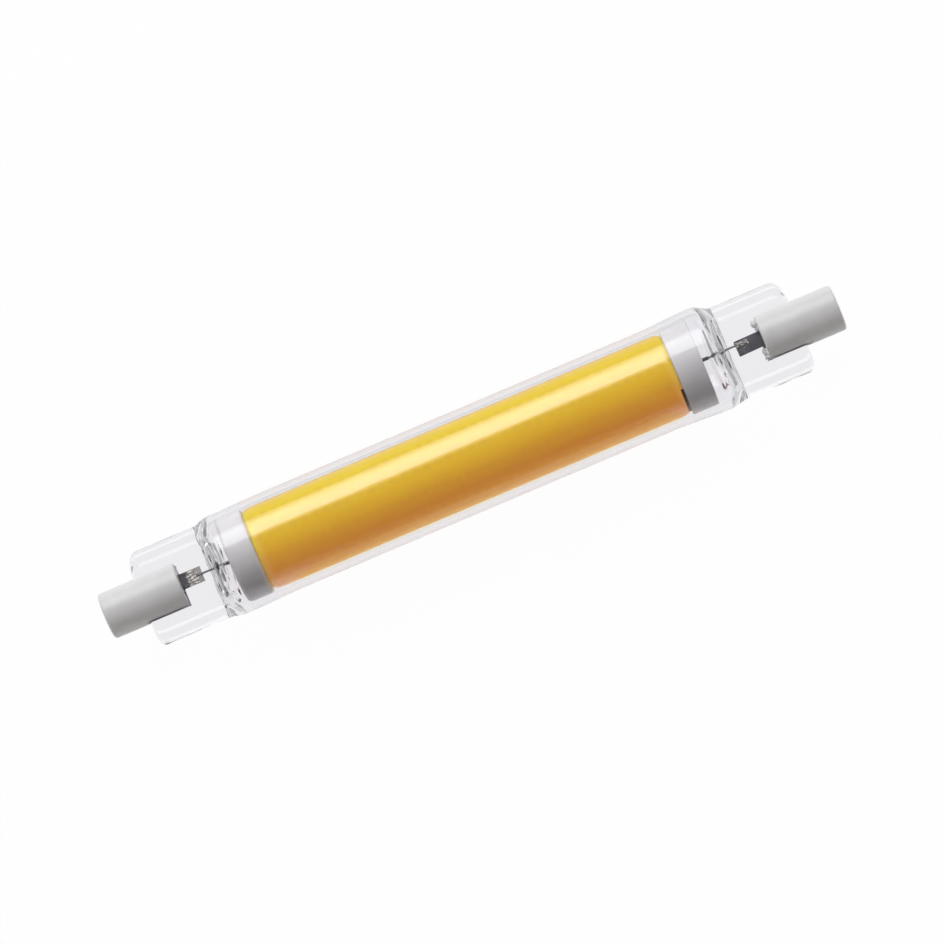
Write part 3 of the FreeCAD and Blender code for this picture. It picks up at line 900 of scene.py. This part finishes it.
# Camera: seen from above, rolled so that the lamp rises to the right

LAMP_SLOPE = math.radians(22.95)
VIEW_TILT = math.radians(9)
VIEW_DISTANCE = 0.79
VIEW_FOOT = 16 * MM
AIM_RIGHT = 0.25 * MM
AIM_UP = -1.86 * MM
LENS = 203.4
SENSOR = 36.0
CLIP = (0.01, 20)


def set_up(name, data, place, *axes):
    """Puts a camera or a light at a place, turned to its three axes."""
    thing = bpy.data.objects.new(name, data)
    bpy.context.scene.collection.objects.link(thing)
    thing.matrix_world = Matrix.Translation(place) @ Matrix(axes).transposed().to_4x4()
    return thing


def photo_camera():
    """Camera at the photograph's angle, distance and framing."""
    along = Vector((1, 0, 0))
    toward = Vector((0, -math.sin(VIEW_TILT), math.cos(VIEW_TILT)))
    across = toward.cross(along)
    place = along * VIEW_FOOT + toward * VIEW_DISTANCE
    back = place.normalized()
    right = along * math.cos(LAMP_SLOPE) - across * math.sin(LAMP_SLOPE)
    right = (right - back * right.dot(back)).normalized()
    up = back.cross(right)
    place = place + right * AIM_RIGHT + up * AIM_UP
    lens = bpy.data.cameras.new("photo_camera")
    lens.sensor_width = SENSOR
    lens.lens = LENS
    lens.clip_start, lens.clip_end = CLIP
    bpy.context.scene.camera = set_up("photo_camera", lens, place, right, up, back)


# Studio light: one long softbox behind the lamp, pale surroundings low down, dark overhead

SOFTBOX_ELEVATION = math.radians(43.5)
SOFTBOX_DISTANCE = 0.6
SOFTBOX_HEIGHT = 0.40
SOFTBOX_LENGTH = 1.1
SOFTBOX_RADIANCE = 2.65
SOFTBOX_COLOUR = (0.985, 0.99, 1.0)
SOFTBOX_SHIFT = -0.04


def softbox():
    """Long rectangular light, turned to the lamp."""
    light = bpy.data.lights.new("softbox", "AREA")
    light.shape = "RECTANGLE"
    light.size = SOFTBOX_LENGTH
    light.size_y = SOFTBOX_HEIGHT
    light.color = SOFTBOX_COLOUR
    light.energy = SOFTBOX_RADIANCE * math.pi * SOFTBOX_LENGTH * SOFTBOX_HEIGHT
    toward = Vector((0, math.cos(SOFTBOX_ELEVATION), math.sin(SOFTBOX_ELEVATION)))
    along = Vector((1, 0, 0))
    place = toward * SOFTBOX_DISTANCE + along * SOFTBOX_SHIFT
    set_up("softbox", light, place, along, toward.cross(along), toward)


# Materials


def link(tree, source, target):
    tree.links.new(source, target)


def node(tree, kind, **values):
    made = tree.nodes.new(kind)
    for name, value in values.items():
        setattr(made, name, value)
    return made


def new_material(name):
    """Material with one Principled shader, its tree, the shader and the output."""
    material = bpy.data.materials.new(name)
    material.use_nodes = True
    tree = material.node_tree
    shader = tree.nodes["Principled BSDF"]
    output = tree.nodes["Material Output"]
    return material, tree, shader, output


def feed(tree, socket, value):
    """Sets a socket to a number or a colour, or links another socket to it."""
    if isinstance(value, bpy.types.NodeSocket):
        link(tree, value, socket)
    elif isinstance(value, (int, float)):
        socket.default_value = value
    else:
        socket.default_value = (*value, 1)


def feed_all(tree, made, values):
    """Feeds a node's sockets by their names."""
    for name, value in values.items():
        feed(tree, made.inputs[name], value)


def mix_shaders(tree, factor, first, second, output):
    """Sends a blend of two shaders to the output."""
    mix = node(tree, "ShaderNodeMixShader")
    for socket, source in zip(mix.inputs, (factor, first.outputs[0], second.outputs[0])):
        link(tree, source, socket)
    link(tree, mix.outputs[0], output.inputs["Surface"])


# Where a mix node of each kind has its factor, its two values and its result
MIX_PLACES = {"RGBA": (0, 6, 7, 2), "FLOAT": (0, 2, 3, 0)}


def mixed(tree, kind, *values):
    mix = node(tree, "ShaderNodeMix", data_type=kind)
    *places, result = MIX_PLACES[kind]
    for place, value in zip(places, values):
        feed(tree, mix.inputs[place], value)
    return mix.outputs[result]


def colour_mix(tree, factor, first, second):
    """Blend of two colours by a factor, each a socket or a plain value."""
    return mixed(tree, "RGBA", factor, first, second)


def remap(tree, value, from_low, from_high, to_low=0.0, to_high=1.0, smooth_step=False):
    """A level moved from one range to another, in a straight line or eased at both ends."""
    step = node(tree, "ShaderNodeMapRange", interpolation_type="SMOOTHSTEP" if smooth_step else "LINEAR")
    names = ("Value", "From Min", "From Max", "To Min", "To Max")
    feed_all(tree, step, dict(zip(names, (value, from_low, from_high, to_low, to_high))))
    return step.outputs["Result"]


def maths(tree, operation, first, second=0):
    """Math node on one or two values, each a socket or a plain number."""
    made = node(tree, "ShaderNodeMath", operation=operation)
    feed(tree, made.inputs[0], first)
    feed(tree, made.inputs[1], second)
    return made.outputs[0]


def blend_level(tree, factor, first, second):
    """Blend of two levels, each a socket or a plain number."""
    return mixed(tree, "FLOAT", factor, first, second)


def split_place(tree, kind="Object"):
    """Place on the surface, or direction in the world, as one socket for each axis."""
    place = node(tree, "ShaderNodeTexCoord")
    split = node(tree, "ShaderNodeSeparateXYZ")
    link(tree, place.outputs[kind], split.inputs[0])
    return split.outputs


FINE_DETAIL = 3
BROAD_DETAIL = 2
BROAD_HEIGHT_SHARE = 0.5


def grain_group():
    """Fine grain, broad mottle and the height of both together."""
    group = bpy.data.node_groups.new("surface_grain", "ShaderNodeTree")
    for name in ("Fine Scale", "Broad Scale", "Stretch"):
        group.interface.new_socket(name, in_out="INPUT", socket_type="NodeSocketFloat")
    for name in ("Fine", "Broad", "Height"):
        group.interface.new_socket(name, in_out="OUTPUT", socket_type="NodeSocketFloat")
    come = node(group, "NodeGroupInput")
    go = node(group, "NodeGroupOutput")
    place = node(group, "ShaderNodeTexCoord")
    stretch = node(group, "ShaderNodeCombineXYZ")
    feed_all(group, stretch, {"X": come.outputs["Stretch"], "Y": 1, "Z": 1})
    scaled = node(group, "ShaderNodeVectorMath", operation="MULTIPLY")
    link(group, place.outputs["Object"], scaled.inputs[0])
    link(group, stretch.outputs[0], scaled.inputs[1])
    fields = []
    for scale, detail in (("Fine Scale", FINE_DETAIL), ("Broad Scale", BROAD_DETAIL)):
        noise = node(group, "ShaderNodeTexNoise")
        values = {"Vector": scaled.outputs[0], "Scale": come.outputs[scale], "Detail": detail}
        feed_all(group, noise, values)
        fields.append(noise.outputs["Fac"])
    fine, broad = fields
    height = node(group, "ShaderNodeMath", operation="MULTIPLY_ADD")
    for socket, value in zip(height.inputs, (broad, BROAD_HEIGHT_SHARE, fine)):
        feed(group, socket, value)
    feed_all(group, go, {"Fine": fine, "Broad": broad, "Height": height.outputs[0]})
    return group


GRAIN = grain_group()


def grain(tree, fine_scale, broad_scale, stretch):
    """The grain at two scales, drawn out along the lamp where the stretch is under one."""
    made = node(tree, "ShaderNodeGroup", node_tree=GRAIN)
    feed_all(tree, made, {"Fine Scale": fine_scale, "Broad Scale": broad_scale, "Stretch": stretch})
    return made


def bump(tree, texture, strength, distance, shader):
    """Raises a shader's surface by the height of the grain."""
    raised = node(tree, "ShaderNodeBump")
    height = texture.outputs["Height"]
    feed_all(tree, raised, {"Strength": strength, "Distance": distance, "Height": height})
    link(tree, raised.outputs["Normal"], shader.inputs["Normal"])


MOTTLE = (0.3, 0.7)
FINISH_BUMP = 0.5
FINE_RELIEF = 0.01 * MM


def grained_material(
    name, colours, roughness, scales, relief=FINE_RELIEF, stretch=1.0, metallic=0.0, gloss=0.5
):
    """Solid finish whose colour and roughness vary a little, with a fine relief."""
    material, tree, shader, _ = new_material(name)
    texture = grain(tree, *scales, stretch)
    blend = remap(tree, texture.outputs["Broad"], *MOTTLE)
    feed_all(tree, shader, {
        "Base Color": colour_mix(tree, blend, *colours),
        "Roughness": remap(tree, texture.outputs["Fine"], *MOTTLE, *roughness),
        "Metallic": metallic,
        "Specular IOR Level": gloss,
    })
    bump(tree, texture, FINISH_BUMP, relief, shader)
    return material


GLASS_TINT = (0.945, 0.94, 0.955)
GLASS_IOR = 1.47
GLASS_GRAIN = (260, 90, 0.2)
GLASS_RELIEF = (0.15, 0.05 * MM)
GLASS_DEPTH_TINT = (0.5, 0.48, 0.58)
GLASS_DENSITY = 60
SHADOW_CLEARNESS = 0.735
TRAPPED_DEPTH = 1.5


def clear_glass():
    """Colourless glass with faint drawn lines, that lets out the light it would trap."""
    material, tree, shader, output = new_material("clear_glass")
    feed_all(tree, shader, {"Base Color": GLASS_TINT, "Transmission Weight": 1, "IOR": GLASS_IOR})
    feed_all(tree, shader, {"Metallic": 0, "Roughness": 0})
    texture = grain(tree, *GLASS_GRAIN)
    bump(tree, texture, *GLASS_RELIEF, shader)
    depth = node(tree, "ShaderNodeVolumeAbsorption")
    feed_all(tree, depth, {"Color": GLASS_DEPTH_TINT, "Density": GLASS_DENSITY})
    link(tree, depth.outputs[0], output.inputs["Volume"])
    ray = node(tree, "ShaderNodeLightPath")
    clear = node(tree, "ShaderNodeBsdfTransparent")
    feed(tree, clear.inputs["Color"], [SHADOW_CLEARNESS] * 3)
    trapped = maths(tree, "GREATER_THAN", ray.outputs["Glossy Depth"], TRAPPED_DEPTH)
    passes = maths(tree, "MAXIMUM", ray.outputs["Is Shadow Ray"], trapped)
    mix_shaders(tree, passes, shader, clear, output)
    return material


CHIP_ROWS = 12
CHIP_PITCH = 1.78 * MM
CHIP_ROW_TURN = math.radians(24.3)
CHIP_SPOT = (0.42, 0.22)


def chip_group():
    """Mask of the chips' places under the coating: rows along the lamp, evenly round it."""
    group = bpy.data.node_groups.new("chip_rows", "ShaderNodeTree")
    group.interface.new_socket("Mask", in_out="OUTPUT", socket_type="NodeSocketFloat")
    go = node(group, "NodeGroupOutput")
    place = split_place(group)
    along = maths(group, "FRACT", maths(group, "DIVIDE", place["X"], CHIP_PITCH))
    turn = maths(group, "ARCTAN2", place["Y"], place["Z"])
    turn = maths(group, "ADD", turn, CHIP_ROW_TURN)
    around = maths(group, "FRACT", maths(group, "MULTIPLY", turn, CHIP_ROWS / math.tau))
    shifted = maths(group, "FRACT", maths(group, "ADD", around, 0.5))
    from_row = maths(group, "ABSOLUTE", maths(group, "SUBTRACT", shifted, 0.5))
    from_chip = maths(group, "ABSOLUTE", maths(group, "SUBTRACT", along, 0.5))
    arc = maths(group, "MULTIPLY", from_row, math.tau * coating_radius / CHIP_ROWS / CHIP_PITCH)
    squares = maths(group, "ADD", maths(group, "POWER", arc, 2), maths(group, "POWER", from_chip, 2))
    reach = maths(group, "SQRT", squares)
    link(group, remap(group, reach, *CHIP_SPOT, smooth_step=True), go.inputs["Mask"])
    return group


COATING_COLOURS = ((0.545, 0.635, 0.003), (0.555, 0.645, 0.006))
COATING_MOTTLE = (0.35, 0.65)
COATING_GRAIN = (2600, 420, 0.6)
COATING_ROUGHNESS = 0.2
COATING_IOR = 1.72
COATING_RELIEF = (0.25, 0.01 * MM)
CHIP_COLOUR = (0.48, 0.55, 0.008)
CHIP_SHARE = 0.5
# Painted glow: a constant emission that stands in for light on the coating's shaded side and on its
# drawn-in ends
BODY_PAINTED_GLOW = (1.0, 0.13, 0.0)
END_PAINTED_GLOW = (0.74, 0.28, 0.04)
END_PAINTED_GLOW_DEPTH = (0.9 * MM, 0.1 * MM)
PAINTED_GLOW_STRENGTH = 0.4


def phosphor():
    """Yellow silicone with phosphor and a painted glow: constant emission, red along the body and orange
    at the ends, that lifts its shaded side.
    """
    material, tree, shader, _ = new_material("phosphor")
    texture = grain(tree, *COATING_GRAIN)
    blend = remap(tree, texture.outputs["Broad"], *COATING_MOTTLE)
    body = colour_mix(tree, blend, *COATING_COLOURS)
    chips = node(tree, "ShaderNodeGroup", node_tree=chip_group())
    shade = maths(tree, "MULTIPLY", chips.outputs["Mask"], CHIP_SHARE)
    place = split_place(tree)
    middle = (COATING_BOX[0].x + COATING_BOX[1].x) / 2
    half = (COATING_BOX[1].x - COATING_BOX[0].x) / 2
    reach = maths(tree, "ABSOLUTE", maths(tree, "SUBTRACT", place["X"], middle))
    at_end = remap(tree, reach, *[half - depth for depth in END_PAINTED_GLOW_DEPTH], smooth_step=True)
    feed_all(tree, shader, {
        "Base Color": colour_mix(tree, shade, body, CHIP_COLOUR),
        "Roughness": COATING_ROUGHNESS,
        "IOR": COATING_IOR,
        # painted glow, red along the body and orange towards the ends
        "Emission Color": colour_mix(tree, at_end, BODY_PAINTED_GLOW, END_PAINTED_GLOW),
        "Emission Strength": PAINTED_GLOW_STRENGTH,
    })
    bump(tree, texture, *COATING_RELIEF, shader)
    return material


FOIL_DULL = ((0.09, 0.09, 0.10), (0.16, 0.16, 0.17))
# Lighter colours of the painted highlight
FOIL_PAINTED_HIGHLIGHT = ((0.26, 0.25, 0.235), (0.46, 0.445, 0.42))
FOIL_ROUGHNESS = (0.25, 0.45)
FOIL_METAL_GRAIN = (1500, 420, 0.5)
FOIL_RELIEF = (0.5, 0.03 * MM)
PAINTED_HIGHLIGHT_DEPTH = (2.55 * MM, 2.05 * MM)
WELD_PAINTED_HIGHLIGHT_Z = (-0.06 * MM, 0.0)


def foil_metal():
    """Dark rolled metal with a painted highlight: a lighter colour on a patch of the left foil and where
    the metal stands higher, over the weld.
    """
    material, tree, shader, _ = new_material("foil")
    texture = grain(tree, *FOIL_METAL_GRAIN)
    place = split_place(tree)
    # Painted highlight on a patch of the left foil
    left_end = maths(tree, "LESS_THAN", place["X"], 0)
    edge = [FOIL_BOX["left"][1].x - depth for depth in PAINTED_HIGHLIGHT_DEPTH]
    patch = maths(tree, "MULTIPLY", left_end, remap(tree, place["X"], *edge, smooth_step=True))
    # Painted highlight where the metal stands higher, over the weld
    molten = remap(tree, place["Z"], *WELD_PAINTED_HIGHLIGHT_Z, smooth_step=True)
    painted_highlight_mask = maths(tree, "MAXIMUM", patch, molten)
    blend = remap(tree, texture.outputs["Broad"], *MOTTLE)
    dull = colour_mix(tree, blend, *FOIL_DULL)
    painted_highlight_colour = colour_mix(tree, blend, *FOIL_PAINTED_HIGHLIGHT)
    feed_all(tree, shader, {
        "Base Color": colour_mix(tree, painted_highlight_mask, dull, painted_highlight_colour),
        "Roughness": remap(tree, texture.outputs["Fine"], *MOTTLE, *FOIL_ROUGHNESS),
        "Metallic": 1,
    })
    bump(tree, texture, *FOIL_RELIEF, shader)
    return material


WHITE = (1, 1, 1)
TUBE_CROSSINGS = 3.5


def off_module_share(tree, ray):
    """One for what the module mirrors through the tube, and nothing for the rest."""
    mirrored = maths(tree, "COMPARE", ray.outputs["Glossy Depth"], 1)
    beyond_tube = maths(tree, "GREATER_THAN", ray.outputs["Transmission Depth"], TUBE_CROSSINGS)
    return maths(tree, "MULTIPLY", mirrored, beyond_tube)


FLOOR_COLOUR = (0.67, 0.645, 0.64)
FLOOR_GLOW = 1.01
FLOOR_GLOW_SHARE = 0.97
# Painted bounce light: the floor's glow turns yellow beside the lamp, and painted shade: dark grey on its
# far side, both only for what the module mirrors through the tube
FLOOR_PAINTED_BOUNCE = (1.0, 0.88, 0.0)
FLOOR_PAINTED_BOUNCE_X = (30 * MM, 34 * MM)
FLOOR_PAINTED_SHADE = (0.3, 0.3, 0.3)
FLOOR_PAINTED_SHADE_Y = (-5 * MM, 5 * MM)


def light_floor():
    """White floor that glows for what looks at it and keeps a faint shadow; in the module's mirror its
    glow holds painted bounce light beside the lamp and painted shade on the far side.
    """
    material, tree, shader, output = new_material("studio_floor")
    feed_all(tree, shader, {"Base Color": FLOOR_COLOUR, "Roughness": 1, "Specular IOR Level": 0})
    material.cycles.emission_sampling = "NONE"
    place = split_place(tree)
    beside = remap(tree, maths(tree, "ABSOLUTE", place["X"]), *FLOOR_PAINTED_BOUNCE_X, 1, 0)
    # painted shade on the far side of the floor, in the module's mirror
    behind = remap(tree, place["Y"], *FLOOR_PAINTED_SHADE_Y)
    near_painted_bounce = colour_mix(tree, beside, WHITE, FLOOR_PAINTED_BOUNCE)
    painted_bounce_and_shade = colour_mix(tree, behind, near_painted_bounce, FLOOR_PAINTED_SHADE)
    ray = node(tree, "ShaderNodeLightPath")
    glow = node(tree, "ShaderNodeEmission")
    colour = colour_mix(tree, off_module_share(tree, ray), WHITE, painted_bounce_and_shade)
    feed_all(tree, glow, {"Color": colour, "Strength": FLOOR_GLOW})
    seen = maths(tree, "MAXIMUM", ray.outputs["Is Camera Ray"], ray.outputs["Is Glossy Ray"])
    seen = maths(tree, "MAXIMUM", seen, ray.outputs["Is Transmission Ray"])
    undiffused = maths(tree, "LESS_THAN", ray.outputs["Diffuse Depth"], 1)
    share = maths(tree, "MULTIPLY", maths(tree, "MULTIPLY", seen, undiffused), FLOOR_GLOW_SHARE)
    mix_shaders(tree, share, shader, glow, output)
    return material


FILL_COLOUR = (1.0, 0.97, 0.96)
NEAR_TO_FAR = (-0.5, 0.5)
OVERHEAD_LIGHT = 0.055
LOW_LIGHT = {"near": 2.1, "far": 0.25}
NEAR_LIGHT_SEEN = 0.25
END_LIGHT = 0.8
END_LIGHT_EDGE = (0.6, 0.85)
LOW_LIGHT_TOP = {"near": math.sin(math.radians(7.6)), "far": math.sin(math.radians(25))}
LOW_LIGHT_EDGE = 0.03
THROUGH_GLASS_LIGHT = 0.9
THROUGH_GLASS_SHARE = 0.8
OFF_MODULE_SHARE = 0.1
OFF_MODULE_SLANT = (0.12, 0.3)


def studio_world():
    """Surroundings by direction: pale low down and past the ends, dark overhead."""
    world = bpy.data.worlds.new("studio")
    bpy.context.scene.world = world
    world.use_nodes = True
    world.cycles.sampling_method = "NONE"
    tree = world.node_tree
    background = tree.nodes["Background"]
    output = tree.nodes["World Output"]
    place = split_place(tree, "Generated")
    side = remap(tree, place["Y"], *NEAR_TO_FAR, smooth_step=True)
    top = remap(tree, side, 0, 1, LOW_LIGHT_TOP["near"], LOW_LIGHT_TOP["far"])
    above = maths(tree, "SUBTRACT", place["Z"], top)
    low_share = remap(tree, above, LOW_LIGHT_EDGE, -LOW_LIGHT_EDGE, 0, 1, smooth_step=True)
    ray = node(tree, "ShaderNodeLightPath")
    undiffused = maths(tree, "LESS_THAN", ray.outputs["Diffuse Depth"], 1)
    near_light = blend_level(tree, undiffused, LOW_LIGHT["near"], NEAR_LIGHT_SEEN)
    low_light = blend_level(tree, side, near_light, LOW_LIGHT["far"])
    beside = blend_level(tree, low_share, OVERHEAD_LIGHT, low_light)
    past_end = maths(tree, "ABSOLUTE", place["X"])
    end_share = remap(tree, past_end, *END_LIGHT_EDGE, 0, 1, smooth_step=True)
    level = blend_level(tree, end_share, beside, END_LIGHT)
    square_on = remap(tree, past_end, *OFF_MODULE_SLANT, 1, 0)
    off_module = maths(tree, "MULTIPLY", off_module_share(tree, ray), square_on)
    kept = blend_level(tree, off_module, THROUGH_GLASS_SHARE, OFF_MODULE_SHARE)
    trapped = maths(tree, "GREATER_THAN", ray.outputs["Glossy Depth"], TRAPPED_DEPTH)
    through = maths(tree, "MAXIMUM", ray.outputs["Is Transmission Ray"], trapped)
    share = maths(tree, "MULTIPLY", maths(tree, "MULTIPLY", through, undiffused), kept)
    strength = blend_level(tree, share, level, THROUGH_GLASS_LIGHT)
    feed_all(tree, background, {"Color": FILL_COLOUR, "Strength": strength})
    white = node(tree, "ShaderNodeBackground")
    feed(tree, white.inputs["Color"], WHITE)
    mix_shaders(tree, ray.outputs["Is Camera Ray"], background, white, output)


def put_on(material, *pieces):
    for piece in pieces:
        piece.data.materials.clear()
        piece.data.materials.append(material)


# The lamp's pieces

photo_camera()
softbox()
studio_world()
floor = studio_floor()
glass = glass_envelope()
caps = [end_cap(side) for side in SIDES]
sleeve = phosphor_coating()
bases = [ceramic_base(side) for side in SIDES]
cements = [base_cement(side) for side in SIDES]
foils = [sealing_foil(side) for side in SIDES]
lead = right_lead()
lead_sleeve = right_sleeve()


def both(name):
    return [nodes[f"{name}_{side}"] for side in SIDES]


# Each grained finish: its pieces, two colours, range of roughness, and scales of fine and broad grain
FINISHES = {
    "cap_plastic": (caps, (0.84, 0.835, 0.825), (0.87, 0.865, 0.855), (0.2, 0.28), (5000, 300)),
    "base_ceramic": (bases, (0.80, 0.795, 0.79), (0.85, 0.845, 0.84), (0.25, 0.34), (6000, 400)),
    "cement": (cements, (0.82, 0.82, 0.81), (0.90, 0.90, 0.89), (0.8, 0.95), (3000, 900)),
    "contact_nickel": (
        both("contact_button"), (0.62, 0.60, 0.56), (0.72, 0.70, 0.66), (0.25, 0.4), (6000, 500)
    ),
    "lead_wire": (
        [lead, nodes["inner_lead_left"], *both("outer_lead")],
        (0.16, 0.16, 0.165), (0.24, 0.24, 0.25), (0.35, 0.5), (8000, 900)
    ),
    "dark_sleeve": (
        [lead_sleeve, nodes["lead_sleeve_left"]],
        (0.05, 0.05, 0.055), (0.09, 0.09, 0.095), (0.45, 0.6), (6000, 900)
    ),
    "carrier_ceramic": (
        [nodes["led_carrier"]], (0.82, 0.82, 0.80), (0.88, 0.88, 0.86), (0.6, 0.75), (6000, 500)
    ),
    "chip_row": ([nodes["led_strings"]], (0.65, 0.6, 0.35), (0.8, 0.75, 0.5), (0.3, 0.45), (4000, 560)),
    # Near-black pieces at the coating's ends, in the dark slit between coating and cap
    "dark_terminal": (
        both("terminal"), (0.012, 0.012, 0.02), (0.03, 0.03, 0.045), (0.4, 0.55), (5000, 700)
    ),
    "feed_insulation": (
        both("feed_wire"), (0.5, 0.03, 0.02), (0.6, 0.05, 0.035), (0.45, 0.6), (5000, 600)
    ),
    "board": ([nodes["driver_board"]], (0.02, 0.12, 0.05), (0.03, 0.16, 0.07), (0.3, 0.45), (4000, 350)),
    "package_black": (
        [nodes["bridge_rectifier"], nodes["driver_chips"]],
        (0.018, 0.018, 0.02), (0.03, 0.03, 0.033), (0.55, 0.7), (7000, 900)
    ),
    "capacitor_can": (
        [nodes["smoothing_capacitor"]], (0.42, 0.43, 0.45), (0.55, 0.56, 0.58), (0.3, 0.45), (6000, 500)
    ),
    "resistor_body": (
        [nodes["fuse_resistor"]], (0.12, 0.22, 0.30), (0.18, 0.30, 0.40), (0.3, 0.45), (5000, 500)
    ),
}
# What some finishes set besides
SPECIALS = {
    "cap_plastic": {"relief": 0.004 * MM, "gloss": 0.22},
    "base_ceramic": {"relief": 0.006 * MM},
    "cement": {"relief": 0.08 * MM},
    "contact_nickel": {"relief": 0.005 * MM, "metallic": 1.0},
    "lead_wire": {"relief": 0.005 * MM, "metallic": 1.0, "stretch": 0.1},
    "package_black": {"relief": 0.015 * MM},
    "capacitor_can": {"metallic": 1.0, "stretch": 0.3},
    "resistor_body": {"relief": 0.02 * MM},
}

put_on(light_floor(), floor)
put_on(clear_glass(), glass)
put_on(phosphor(), sleeve)
put_on(foil_metal(), *foils)
for name, (pieces, first, second, roughness, scales) in FINISHES.items():
    special = SPECIALS.get(name, {})
    put_on(grained_material(name, (first, second), roughness, scales, **special), *pieces)

bpy.context.scene.view_settings.view_transform = "Standard"
